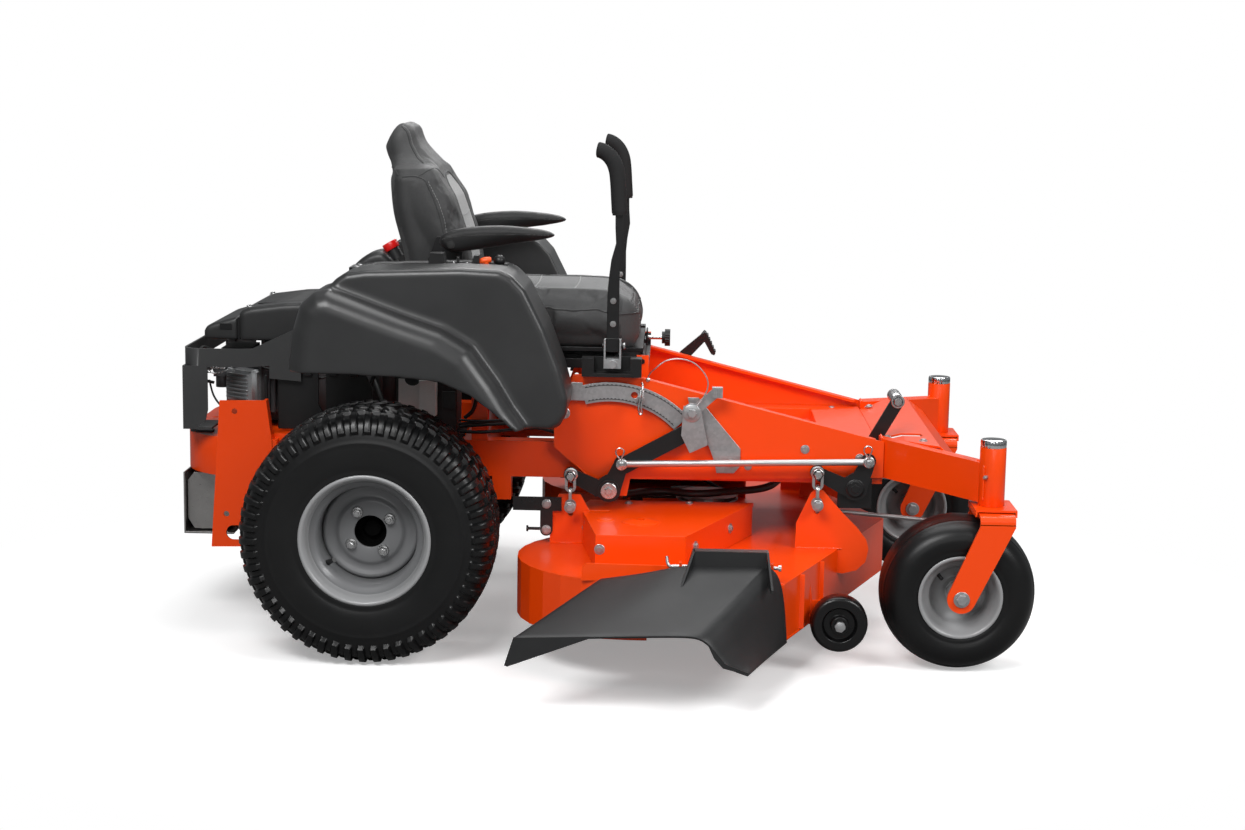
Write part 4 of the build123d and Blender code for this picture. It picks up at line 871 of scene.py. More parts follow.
def rear_tyre(side, hand):
    half = REAR_SIDEWALL + [(y, 271.6 - 3.4 * (y / 80.0) ** 2) for y in np.linspace(78, 0, 27)]
    profile = np.array(half + mirrored(half[:-1]))
    slope = np.gradient(profile, axis=0)
    normal = np.stack([slope[:, 1], -slope[:, 0]], 1)
    normal /= np.linalg.norm(normal, axis=1)[:, None]
    steps = TREAD_PITCHES * PITCH_STEPS
    angle = (np.arange(steps) * 2 * math.pi / steps)[:, None]
    phase = (np.arange(steps) / PITCH_STEPS)[:, None]
    y, radius = profile[:, 0][None, :], profile[:, 1][None, :]
    height = tread_height(phase, y, radius)
    y = y + normal[:, 0][None, :] * height
    radius = np.minimum(radius + normal[:, 1][None, :] * height, REAR_RADIUS)
    points = np.stack([radius * np.cos(angle), side * REAR_WHEEL_Y + y,
                       radius * np.sin(angle) + REAR_RADIUS], 2).reshape(-1, 3)
    index = np.arange(len(points)).reshape(steps, len(profile))
    after = np.roll(index, -1, axis=0)
    quads = np.stack([index[:, :-1].ravel(), index[:, 1:].ravel(),
                      after[:, 1:].ravel(), after[:, :-1].ravel()], 1)
    close = np.stack([index[:, -1], index[:, 0], after[:, 0], after[:, -1]], 1)
    tyre = mesh_object(f"rear_tyre_{hand}_tread", points, np.concatenate([quads, close]),
                       "tyre_rubber", smooth=0)
    attach(tyre, "drive_wheel_" + hand, ("rear_tyre_" + hand,))
    work = bmesh.new()
    work.from_mesh(tyre.data)
    bmesh.ops.recalc_face_normals(work, faces=work.faces)
    work.to_mesh(tyre.data)
    work.free()
    tyre.data.set_sharp_from_angle(angle=math.radians(42))


def rear_wheel(side, hand):
    body = "drive_wheel_" + hand
    centre = (0, side * REAR_WHEEL_Y, REAR_RADIUS)
    axle = (centre[0], centre[2])
    rim = Shape()
    # the lip takes the lighter copy of the rim paint: a painted highlight
    for profile, material in ((RIM_LIP, 1), (RIM_BARREL, 0), (RIM_BACK, 0)):
        rim.lathe(profile, centre, steps=112, material=material, sign=side, closed=False)
    rim.lathe(RIM_DISC, centre, steps=112, sign=side)
    rim.make("rear_rim_" + hand, ["rim_paint", "rim_lip"], body,
             replaces=("rear_wheel_" + hand,), sharp=50)

    # recess behind the disc and the axle nut, both in near-black painted shade, and the axle
    hub = Shape()
    hub.lathe([(10.6, 61.0), (10.6, 35.8), (-2, 35.4), (-30, 34.0), (-32, 0), (-36, 0),
               (-36, 62.0), (4, 62.0)], centre, steps=64, sign=side)
    hub.lathe([(-31, 21), (-20, 20), (-17, 17), (-16, 0), (-31, 0)], centre, steps=32,
              sign=side)
    hub.lathe([(-34, 14.0), (-125, 14.0), (-125, 0), (-34, 0)], centre, steps=24, material=1,
              sign=side)
    hub.make("rear_hub_" + hand, ["hole_black", "bare_steel"], body, "cast_iron", sharp=40)

    # cone-seat nuts: round collar, hexagon, stud end
    nuts = Shape()
    for k in range(4):
        x, z = polar(axle, 50.8, math.radians(34 + 90 * k))
        y = centre[1] + side * 16.8
        nuts.lathe([(-1, 8), (-1, 12.6), (1.6, 12.8), (3.4, 11.0), (3.4, 6)], (x, y, z),
                   steps=28, sign=side)
        nuts.bolt((x, y + side * 3.0, z), (0, side, 0), 10.2, 9.5, washer=0, stud=4.0,
                  turn=0.3 + k)
    nuts.make("rear_wheel_nuts_" + hand, "steel_bright", body, "zinc_plate", sharp=30)

    valve = Shape()
    stem = []
    for radius, out in ((110, 58), (101, 66), (92, 76)):
        x, z = polar(axle, radius, math.pi + 0.62)
        stem.append(Vector((x, centre[1] + side * out, z)))
    valve.tube(stem, [7.5, 5.6, 4.6], 14)
    valve.tube([stem[2], stem[2] + (stem[2] - stem[1]) * 0.7], 4.9, 14)
    valve.make("rear_valve_" + hand, "hose_rubber", body, "tyre_rubber")


# ======================================================================== caster wheels
# halves of the outlines as (y from the centre plane, radius)
CASTER_TYRE = [
    (62, 81), (68, 84), (71.5, 89), (73.5, 94), (75.2, 98.5), (74.8, 101), (76.5, 104.5),
    (78.6, 111), (79.8, 118), (80, 124), (79, 130), (77, 136.5), (74, 142.5), (70, 147.8),
    (65, 152.6), (58, 157.4), (50, 161.2), (44.5, 163.2), (43.6, 164.1), (42.4, 164.2),
    (41.5, 163.9), (32, 166.6), (20, 168.8), (10, 169.7), (0, CASTER_RADIUS)]
CASTER_LIP = [(43, 66.8), (52, 79), (70.5, 83.5), (72, 91.2), (75.5, 91.6), (77, 89.6),
              (76.6, 86.4), (74, 83.6)]
CASTER_FACE = [
    (70, 81.6), (62, 78.6), (56, 76.2), (50.5, 71.0), (46.5, 66.0), (40, 63.2), (20, 62.5),
    (12, 60), (7, 52), (5.5, 44), (6.5, 34), (9.5, 28.5), (14, 26), (14, 23), (80, 22),
    (80.5, 20), (80.5, 8.1)]


def caster_wheel(side, hand):
    body = "caster_wheel_" + hand
    centre = (CASTER_X, side * CASTER_Y, CASTER_RADIUS)
    tyre = Shape()
    tyre.lathe(CASTER_TYRE + mirrored(CASTER_TYRE[:-1]), centre, steps=128)
    tyre.make(f"caster_tyre_{hand}_outer", "caster_rubber", body, "tyre_rubber",
              replaces=("caster_tyre_" + hand,), sharp=60)
    rim = Shape()
    rim.lathe(CASTER_FACE + mirrored(CASTER_LIP + CASTER_FACE) + CASTER_LIP, centre, steps=96)
    for end in (-1, 1):  # bearing seals
        rim.lathe([(80.2, 20.5), (81.6, 20.0), (81.6, 9.0), (80.2, 8.8)], centre, steps=40,
                  material=1, sign=end)
    rim.make(f"caster_rim_{hand}_pressed", ["rim_lip", "black_plastic"], body, "rim_paint",
             replaces=("caster_rim_" + hand,), sharp=48)
    valve = Shape()
    stem = []
    # radius and y of the stem's points; the middle one is bowed 1 mm
    for radius, y in ((65, -36), ((65 + 52) / 2, (-36 - 50) / 2 - 1), (52, -50)):
        x, z = polar((centre[0], centre[2]), radius, 2.4)
        stem.append((x, centre[1] + y, z))
    valve.tube(stem, [5.5, 4.2, 4.2], 12)
    valve.make("caster_valve_" + hand, "hose_rubber", body, "tyre_rubber")


# ======================================================================== fenders
# (x, z) outlines: the box over the frame and the flare over the tyre, outside and inside
FENDER_BODY = [
    (-95, 700), (-88, 812), (-69, 836), (-48, 850), (-5, 857), (198, 865), (283, 862),
    (309, 850), (337, 821), (380, 736), (413, 650), (431, 586), (428, 553), (415, 529),
    (393, 517), (337, 520), (300, 560), (100, 700)]
FENDER_FLARE = [
    (-162, 640), (-164, 657), (-155, 732), (-139, 785), (-110, 811), (-78, 818), (77, 762),
    (162, 734), (225, 697), (279, 623), (311, 570), (345, 524), (322, 521), (268, 569),
    (226, 600), (162, 627), (77, 636), (-30, 640)]
FENDER_BODY_INSIDE = [
    (-91, 560), (-83.5, 810), (-66, 832), (-46, 846), (-5, 852.5), (198, 860.5),
    (282, 857.5), (306, 846.5), (332, 819), (375.5, 734), (408.5, 648.5), (426.5, 585.5),
    (423.5, 554), (411.5, 533), (392, 521.5), (345, 500), (300, 400), (-60, 400)]
FENDER_FLARE_INSIDE = [
    (-158, 560), (-159.5, 657), (-150.5, 731.5), (-135, 783), (-108, 807), (-78, 813),
    (75.5, 757.5), (160, 729.6), (221.6, 694), (275, 620.6), (307, 567.6), (337, 520),
    (330, 400), (-150, 400)]
# the flare's upper edge, carried far below so that only the top is rounded
FENDER_CROWN = [(-162, 300)] + FENDER_FLARE[1:12] + [(375, 470), (400, 300)]


def fender(side, hand):
    step = 3.6
    wall = 3.0
    axes = x, y, z = grid((-168, 436), (343, 632), (517, 868), step)
    body, flare, body_inside, flare_inside, crown = (
        outline_field(outline, x, z) for outline in
        (FENDER_BODY, FENDER_FLARE, FENDER_BODY_INSIDE, FENDER_FLARE_INSIDE, FENDER_CROWN))

    def slab(low, high):
        return np.abs(y - (low + high) / 2) - (high - low) / 2

    shell = smooth_union(round_join(body, slab(330, 570), 15.0),
                         np.maximum(round_join(crown, slab(380, 630), 46.0), flare), 16.0)
    hollow = smooth_union(
        round_join(body_inside + wall, slab(300, 566 - wall), 11.0),
        np.maximum(round_join(crown + wall + 4.0, slab(300, 626 - wall), 39.0),
                   flare_inside + wall), 16.0)
    field = np.maximum(blur(shell.astype(np.float32)), -blur(hollow.astype(np.float32)))
    field = np.maximum(field, 521.4 - z)
    field = np.maximum(field, 345.0 - y)
    skirt = np.maximum(np.maximum(body, np.abs(y - 348.5) - 3.6), 600.0 - z)
    field = np.minimum(field, skirt)
    # console opening in the top, and the filler hole on the left
    middle, half = (113, 173) if side < 0 else (169, 109)
    cut = np.maximum(np.maximum(np.abs(x - middle) - half, np.abs(y - 391) - 39), 826 - z)
    if side > 0:
        filler = np.maximum(np.sqrt((x + 5) ** 2 + (y - 470) ** 2) - 46, 838 - z)
        cut = np.minimum(cut, filler)
    field = np.maximum(field, -cut)
    made = field_object(f"fender_{hand}_moulded", field, axes, step, "grey_plastic",
                        mirror=side < 0, smooth=3, decimate=0.35)
    attach(made, "chassis", ("fender_" + hand,))


# ======================================================================== upholstery
def cloth_puff(made, cap, pressure):
    """Inflates the pad as cloth, holding each point within cap (m) of where it began."""
    scene = bpy.context.scene
    last = 20
    start = np.array([v.co for v in made.data.vertices])
    cloth = made.modifiers.new("Cloth", "CLOTH")
    settings = dict(quality=4, mass=0.3, tension_stiffness=18, compression_stiffness=18,
                    shear_stiffness=8, bending_stiffness=1.0, use_pressure=True,
                    uniform_pressure_force=pressure)
    for key, value in settings.items():
        setattr(cloth.settings, key, value)
    cloth.settings.effector_weights.gravity = 0.0
    cloth.collision_settings.use_collision = False
    scene.frame_start, scene.frame_end = 1, last
    cloth.point_cache.frame_start, cloth.point_cache.frame_end = 1, last
    for frame in range(1, last + 1):
        scene.frame_set(frame)
    graph = bpy.context.evaluated_depsgraph_get()
    result = made.evaluated_get(graph).to_mesh()
    end = np.array([v.co for v in result.vertices])
    made.evaluated_get(graph).to_mesh_clear()
    made.modifiers.remove(cloth)
    move = end - start
    length = np.linalg.norm(move, axis=1)
    move *= (np.minimum(length, cap) / np.maximum(length, 1e-9))[:, None]
    made.data.vertices.foreach_set("co", (start + move).astype(np.float32).ravel())
    made.data.update()
    scene.frame_set(1)


def assign_panels(mesh, pick):
    """Sets each face's material from pick(centres in mm, normals)."""
    centres, normals = np.zeros((2, len(mesh.polygons) * 3))
    mesh.polygons.foreach_get("center", centres)
    mesh.polygons.foreach_get("normal", normals)
    centres = centres.reshape(-1, 3)
    centres[:, 0] = (centres[:, 0] - AXLE_X) * 1000
    centres[:, 1] = (centres[:, 1] - AXLE_Y) * 1000
    centres[:, 2] *= 1000
    panels = pick(centres, normals.reshape(-1, 3)).astype(np.int32)
    mesh.polygons.foreach_set("material_index", panels)


def pad(name, field, axes, step, materials, body, replaced, cap, pressure=4.0, pick=None,
        mirror=False):
    """Stuffed pad from a field; returns a search tree of its skin."""
    made = field_object(name, field, axes, step, materials, mirror)
    apply_modifiers(made)
    cloth_puff(made, cap, pressure)
    if pick:
        assign_panels(made.data, pick)
    add_modifier(made, "sub", "SUBSURF", levels=1, render_levels=1)
    apply_modifiers(made)
    attach(made, body, (replaced,))
    work = bmesh.new()
    work.from_mesh(made.data)
    tree = BVHTree.FromBMesh(work)
    work.free()
    return tree


def on_skin(tree, point, lift):
    """The nearest place on the pad's skin, lifted off it."""
    place, normal, _, _ = tree.find_nearest(Vector(to_world(point)))
    place = place + normal * lift / 1000.0
    return ((place.x - AXLE_X) * 1000, (place.y - AXLE_Y) * 1000, place.z * 1000)


def seam(shape, tree, points, radius, material=0, closed=False, steps=10):
    path = [on_skin(tree, p, -0.3) for p in spline(points, steps, closed)]
    shape.tube(path, radius, 6, material, closed=closed)


def stitches(shape, tree, points):
    length, gap = 4.2, 3.0
    path = [Vector(on_skin(tree, p, 0.35)) for p in spline(points, 24)]
    travel = [0.0]
    for here, after in zip(path, path[1:]):
        travel.append(travel[-1] + (after - here).length)
    start = 0.0
    while start + length < travel[-1]:
        ends = [start, start + length / 2, start + length]
        stitch = []
        for place in np.interp(ends, travel, range(len(path))):
            i = min(int(place), len(path) - 2)
            stitch.append(path[i].lerp(path[i + 1], place - i))
        shape.tube(stitch, 0.62, 5)
        start += length + gap


# (x, y, z) along the right half of the cushion insert's edge; y changes sign on the left
INSERT_EDGE = [
    (150, -150, 790), (240, -150, 790), (330, -150, 790), (430, -150, 788),
    (545, -149, 776), (563, -140, 770), (567, -60, 768), (567, 0, 768)]
# (x, z) side outline of the seat back
BACK_OUTLINE = [
    (58, 660), (38, 838), (11, 953), (0, 1050), (-11, 1082), (-19, 1110), (-20, 1134),
    (-10, 1154), (2, 1165), (15, 1167), (31, 1150), (44, 1114), (66, 1085), (92, 1058),
    (112, 1022), (137, 985), (164, 905), (184, 802), (128, 790), (126, 662)]
# half widths of the seat back by height
BACK_LEVELS = [660, 700, 820, 960, 1030, 1054, 1068, 1086, 1140, 1180]
BACK_HALF_WIDTHS = [172, 194, 205, 205, 201, 186, 148, 124, 114, 96]
# x of the seat back's front face by height
FRONT_LEVELS = [790, 802, 905, 985, 1022, 1058, 1085, 1114, 1150]
FRONT_X = [186, 184, 164, 137, 112, 92, 66, 47, 40]
# half of the seam round the back's insert, from the bottom right to the top middle
BACK_LOOP = [
    (186, -104, 805), (165, -104, 880), (150, -102, 930), (132, -98, 975),
    (116, -84, 1012), (104, -44, 1034), (102, 0, 1038)]


def both_halves(half):
    """A right half that ends on the middle, joined to its left mirror image."""
    return half + [(x, -y, z) for x, y, z in reversed(half[:-1])]


def cushion(seams, thread):
    """Side bolsters round a lower centre, with a rolled front edge."""
    step = 6.0
    centre_x, bottom, corner = 361, 652, 58.0
    half_x, half_y = 220, 218
    axes = x, y, z = grid((132, 592), (-228, 228), (bottom, 792), step)
    plan = corner_distance(np.abs(x - centre_x) - (half_x - corner),
                           np.abs(y) - (half_y - corner)) - corner
    top = (774.0 + 2.0 * smooth_step((np.abs(y) - 140) / 30.0)
           - 14.0 * ((np.clip(x, 420, 600) - 420) / 170.0) ** 2
           - 3 * np.exp(-((np.abs(y) - 152) / 9.0) ** 2))
    upper = round_join(plan, np.abs(z - (bottom + top) / 2) - (top - bottom) / 2, 34.0)
    lower = round_join(plan + 6, np.abs(z - 690) - 38.0, 12.0)

    def pick(centre, normal):
        insert = (np.abs(centre[:, 1]) < 150) & (centre[:, 0] < 556) & (normal[:, 2] > 0.55)
        # faces turned forward take the lighter vinyl: painted light
        front = (normal[:, 0] > 0.35) & (centre[:, 0] > 520) & ~insert
        return np.where(insert, 1, np.where(front, 2, 0))

    tree = pad("seat_cushion_pad", smooth_union(upper, lower, 10.0), axes, step,
               ["seat_vinyl", "cushion_insert", "seat_side"], "seat", "seat_cushion",
               cap=0.012, pick=pick)
    seam(seams, tree, both_halves(INSERT_EDGE), 2.2)
    for side in (-1, 1):
        stitches(thread, tree, [(150, side * 159, 790), (300, side * 159, 790),
                                (430, side * 159, 788), (545, side * 158, 776)])
    stitches(thread, tree, [(574, -140, 764), (577, 0, 763), (574, 140, 764)])
    # welt round the upper edge: a superellipse of power 5
    welt = []
    for k in range(48):
        cosine, sine = math.cos(2 * math.pi * k / 48), math.sin(2 * math.pi * k / 48)
        reach = (abs(cosine) ** 5.0 + abs(sine) ** 5.0) ** (-1 / 5.0)
        welt.append((centre_x + 226 * reach * cosine, 224 * reach * sine,
                     748 - (14 if cosine > 0.6 else 0)))
    seam(seams, tree, welt, 2.4, closed=True, steps=4)
    # upright seams on the front roll
    for side in (-1, 1):
        seam(seams, tree, [(560, side * 148, 772), (576, side * 150, 762),
                           (588, side * 150, 744), (592, side * 150, 715),
                           (592, side * 150, 662)], 1.9)
        stitches(thread, tree, [(576, side * 158, 762), (588, side * 158, 744),
                                (593, side * 158, 715), (593, side * 158, 668)])
    # cross channels in the insert
    for x in (235, 330, 425):
        seam(seams, tree, [(x, -148, 790), (x + 4, 0, 790), (x, 148, 790)], 1.5, material=1)


def seat_back(seams, thread):
    step = 6.0
    axes = x, y, z = grid((-28, 192), (-209, 209), (664, 1174), step)
    outline = outline_field(smooth_outline(BACK_OUTLINE, 4), x, z) + 2.0
    half_width = np.interp(z, BACK_LEVELS, BACK_HALF_WIDTHS) - 3.0
    field = round_join(outline, np.abs(y) - half_width, 26.0)
    # bolsters stand forward of the centre panel
    dish = (2.5 * (1 - smooth_step((np.abs(y) - 96) / 44.0)) * smooth_step((z - 700) / 60.0)
            * smooth_step((1050 - z) / 70.0))
    front = np.interp(z, FRONT_LEVELS, FRONT_X)
    field = np.where(x > front - 60,
                     np.maximum(field, (x - (front - 2 - dish)) * 0.92), field)

    def pick(centre, normal):
        half = np.interp(centre[:, 2], [800, 960, 1010, 1034], [104, 100, 84, 40])
        insert = ((normal[:, 0] > 0.45) & (np.abs(centre[:, 1]) < half)
                  & (centre[:, 2] < 1034) & (centre[:, 2] > 792))
        # the flanks keep the darker vinyl and other faces outside the insert take the lighter
        # copy: painted light and shade by face direction
        flank = (np.abs(normal[:, 1]) > 0.55) & (centre[:, 2] < 1056)
        return np.where(insert, 1, np.where(flank, 0, 2))

    tree = pad("seat_back_pad", field, axes, step, ["seat_vinyl", "seat_insert", "seat_side"],
               "seat", "seat_back", cap=0.010, pick=pick)
    seam(seams, tree, both_halves(BACK_LOOP), 2.0)
    for z in (868, 940):
        x = float(np.interp(z, [790, 905, 985], [170, 150, 118]))
        seam(seams, tree, [(x, -100, z), (x, 0, z - 4), (x, 100, z)], 1.5, material=1)
    for side in (-1, 1):
        flank = [(22, side * 205, 1050), (60, side * 205, 1050), (84, side * 204, 1030),
                 (104, side * 205, 985), (122, side * 206, 930), (140, side * 206, 860),
                 (152, side * 206, 800)]
        seam(seams, tree, flank, 1.9)
        stitches(thread, tree, [(x + 8, y, z + 1) for x, y, z in flank[2:]])
        # neck seams behind and in front, under the head piece
        seam(seams, tree, [(6, side * 195, 1050), (0, side * 150, 1054),
                           (-3, side * 60, 1056)], 1.8)
        seam(seams, tree, [(60, side * 205, 1046), (88, side * 165, 1052),
                           (96, side * 130, 1048), (108, side * 100, 1030)], 1.7)
        head = [(14, side * 104, 1160), (36, side * 112, 1142), (48, side * 116, 1108),
                (72, side * 132, 1074)]
        seam(seams, tree, head, 1.7)
        stitches(thread, tree, [(x + 3, y - side * 9, z) for x, y, z in head])
        stitches(thread, tree, [(176, side * 113, 830), (158, side * 113, 900),
                                (136, side * 110, 960), (118, side * 98, 1008)])


def seat_tray():
    """Tray, slides and the arm brackets beside the pads."""
    tray = Shape()
    tray.box(150, 586, -200, 200, 645, 655)
    tray.box(586, 594.5, -30, 30, 645, 655)
    tray.box(590.5, 594.5, -30, 30, 640, 676)
    channel = [(126, 651), (154, 651), (154, 633), (151, 633), (151, 648), (129, 648),
               (129, 633), (126, 633)]
    bracket = [(70, 668), (128, 668), (168, 800), (168, 880), (150, 905), (110, 905), (70, 800)]
    for side in (-1, 1):
        tray.prism([(side * y, z) for y, z in channel], "X", 170, 500)
        tray.prism(bracket, "Y", side * 205, side * 211)
        tray.tube([(150, side * 205, 892), (150, side * 232, 892)], 8, 20)
    tray.make("seat_tray", "black_paint", "seat", bevel=1.2)


def seat_knob():
    """Fluted knob at the front of the tray."""
    knob = Shape()
    knob.tube([(594, 0, 656), (630, 0, 656)], 5, 16, 1)
    knob.lathe([(0, 0), (0, 14.5), (8, 14.5), (8, 0)], (628, 0, 656), "X", 32)
    knob.prism([polar((0, 656), 19.6 + (0.8 if i % 2 else -0.8), 2 * math.pi * i / 40)
                for i in range(40)], "X", 635, 648)
    knob.make("seat_knob", ["black_plastic", "steel_bright"], "seat", bevel=0.8)


def seat():
    seams, thread = Shape(), Shape()
    cushion(seams, thread)
    seat_back(seams, thread)
    seams.make("seat_welts", ["seat_vinyl", "thread"], "seat", "seat_cover")
    thread.make("seat_stitching", "thread", "seat", "seat_cover")
    seat_tray()
    seat_knob()


# (x, z) side outline of the armrests
ARM_OUTLINE = [
    (123, 888), (121, 904), (128, 914), (150, 924), (195, 932.5), (262, 936.5), (330, 932),
    (370, 925.5), (386, 914.5), (366, 906), (300, 898), (250, 889), (190, 877), (150, 873)]


def armrest(side, hand):
    step = 4.0
    centre_y = 260
    axes = x, y, z = grid((118, 388), (230, 290), (868, 939), step)
    outline = outline_field(smooth_outline(ARM_OUTLINE, 5), x, z) + 2.0
    half_width = np.interp(x, [118, 135, 200, 330, 372, 388], [22, 26.5, 27.5, 26, 20, 12])
    field = round_join(outline, np.abs(y - centre_y) - half_width, 14.0)
    tree = pad(f"armrest_{hand}_pad", field, axes, step, "arm_vinyl", "arm_" + hand,
               "armrest_" + hand, cap=0.003, pressure=2.0, mirror=side < 0)
    trim = Shape()
    line = [(124, side * 286, 903), (180, side * 288, 912), (260, side * 288, 916),
            (330, side * 288, 917), (374, side * 284, 915)]
    seam(trim, tree, line, 1.1)
    seam(trim, tree, [(x, side * 2 * centre_y - y, z) for x, y, z in line], 1.1)
    trim.dome((150, side * 286, 892), (0, side, 0), 9, 3)
    trim.make(f"armrest_{hand}_seam", "thread_dark", "arm_" + hand, "seat_cover")


# ======================================================================== steering levers
LEVER_Y = 322.0
# (x, z) up the bar's rear edge and down its front edge
LEVER_OUTLINE = [
    (505.5, 690), (505.5, 795), (509, 835), (513, 868), (523, 905), (521, 940), (520.5, 985),
    (537.5, 985), (538.5, 940), (541, 905), (535, 868), (532, 835), (532.5, 795),
    (532.5, 690)]
GRIP_LINE = [(530, 968), (527.5, 1004), (525, 1040), (521.5, 1066), (514, 1086), (502, 1101),
             (488, 1109.5), (476, 1112)]


def grip_radius(t):
    """Grip radius at t from 0 to 1: narrow at the foot, rounded off at the tip."""
    if t < 0.02:
        return 16.0
    if t > 0.93:
        return 17.5 * math.sqrt(max(0.06, 1 - ((t - 0.93) / 0.07) ** 2))
    return 17.5


def steering_lever(side, hand):
    body = "steering_" + hand
    y = side * LEVER_Y
    bar = Shape()
    bar.box(504, 534, y - 6, y + 6, 661, 692)
    bar.prism(LEVER_OUTLINE, "Y", y - 4.5, y + 4.5)
    bar.tube([(495, y, 674), (543, y, 674)], 5, 18)  # pivot pin
    bar.make(f"lever_{hand}_bar", "black_paint", body, bevel=1.4, replaces=("lever_" + hand,))
    grip = Shape()
    path = spline([(x, y, z) for x, z in GRIP_LINE], 8)
    grip.tube(path, [grip_radius(i / (len(path) - 1)) for i in range(len(path))], 28)
    grip.make(f"lever_{hand}_grip", "foam_grip", body, "seat_grip", sharp=50)
    bolts = Shape()
    for z in (724, 776):
        for face in (side, -side):
            bolts.bolt((519, y + face * 4.5, z), (0, face, 0), 4.6, 4, washer=1.5)
    bolts.bolt((543, y, 674), (1, 0, 0), 7.5, 4.5, washer=0)
    bolts.make(f"lever_{hand}_bolts", "bare_steel", body, "zinc_plate", sharp=30)


# ======================================================================== engine covers
# (x, z) side outlines
SHROUD_OUTLINE = [
    (-354, 640), (-354, 714), (-346, 722), (-330, 728), (-250, 739), (-140, 744),
    (-118, 736), (-66, 704), (-60, 694), (-60, 640)]
LID_OUTLINE = [(-438, 640), (-438, 672), (-432, 682), (-420, 688), (-362, 705), (-357, 705),
               (-357, 640)]
RESERVOIR_OUTLINE = [(-146, 764), (-140, 784), (-126, 806), (-95, 832), (-60, 841),
                     (-40, 828), (-28, 810), (-16, 764)]


def engine_covers():
    step = 4.2
    axes = x, y, z = grid((-358, -58), (-180, 180), (650, 748), step)
    field = extruded(SHROUD_OUTLINE, axes, 0, 178, 13.0)
    # shallow groove round a rectangular panel on top
    panel = np.maximum(np.abs(x + 236) - 92, np.abs(y) - 118)
    field = field + 1.6 * np.exp(-(panel / 3.4) ** 2) * (z > 712)
    field = np.maximum(field, 651.5 - z)
    shroud = field_object("engine_shroud", field, axes, step, "cover_plastic", decimate=0.5)
    attach(shroud, "chassis", ("engine_covers",))

    axes = grid((-442, -354), (-170, 170), (650, 708), step)
    field = np.maximum(extruded(LID_OUTLINE, axes, 0, 168, 10.0), 652.0 - axes[2])
    lid = field_object("air_cleaner_lid", field, axes, step, "cover_plastic", decimate=0.5)
    attach(lid, "chassis")

    # blank plate on top, two latches, four screws and the strip between shroud and lid
    trim = Shape()
    trim.prism([(-322, 731.5), (-150, 746.2), (-150, 744.2), (-322, 729.5)], "Y", -104, 104)
    for side in (-1, 1):
        trim.box(-400, -372, side * 160, side * 170, 676, 690)
        trim.bolt((-110, side * 150, 729.5), (0.45, 0, 0.9), 6, 5, 1)
        trim.bolt((-334, side * 150, 727), (-0.2, 0, 1), 6, 5, 1)
    trim.box(-357.5, -353, -170, 170, 652, 704)
    trim.make("engine_cover_trim", ["black_plastic", "steel_bright"], bevel=1.0)


def hydraulic_reservoir():
    step = 4.0
    axes = grid((-148, -14), (88, 212), (762, 844), step)
    field = extruded(smooth_outline(RESERVOIR_OUTLINE, 3), axes, 150, 60, 16.0)
    tank = field_object("hydraulic_reservoir_tank", field, axes, step, "reservoir_plastic")
    attach(tank, "chassis", ("hydraulic_reservoir",))

    # neck and ribbed cap leaning back, mounting plate and two hoses
    fittings = Shape()
    lean = Vector((-0.5, 0, 0.87)).normalized()
    sideways = Vector((0, 1, 0))
    frame = (lean, sideways, lean.cross(sideways))
    place = (-28, 150, 827)
    fittings.lathe([(-6, 0), (-6, 16), (20, 15), (20, 0)], place, frame, material=1)
    fittings.lathe([(20, 0), (20, 18.2), (22, 18.8), (36, 18.8), (38, 17.6), (38.5, 0)], place,
                   frame, flute=lambda k, along, r: r * 1.035 if k % 2 and r > 10 else r)
    fittings.box(-24, -6, 110, 190, 455.5, 766, 2)
    for hose in ([(-140, 200, 770), (-150, 214, 740), (-120, 226, 640), (-60, 230, 520),
                  (-10, 226, 400), (10, 215, 334)],
                 [(-140, 110, 770), (-152, 96, 730), (-110, 0, 660), (-40, -160, 560),
                  (0, -222, 470), (14, -226, 380), (14, -215, 334)]):
        fittings.tube(hose, 8, 12, 3, smooth=8)
    fittings.make("hydraulic_reservoir_fittings",
                  ["red_plastic", "reservoir_plastic", "black_paint", "hose_rubber"],
                  slot="reservoir_plastic", sharp=40)


# ======================================================================== discharge deflector
FLAP_INNER_Y, FLAP_OUTER_Y = -734, -963
# (x, z) along the flap's edge at the deck and along its outer edge
FLAP_INNER = [(512, 236), (600, 250), (690, 268), (768, 270.5), (846, 272), (862, 268),
              (880, 255), (892, 225), (899, 185), (903, 145), (906, 106)]
FLAP_OUTER = [(346, 165), (440, 168.6), (540, 172.4), (640, 176), (690, 176.5), (716, 173),
              (734, 163), (748, 148), (762, 130), (784, 113), (818, 101)]
HINGE_Y, HINGE_Z = -718, 262


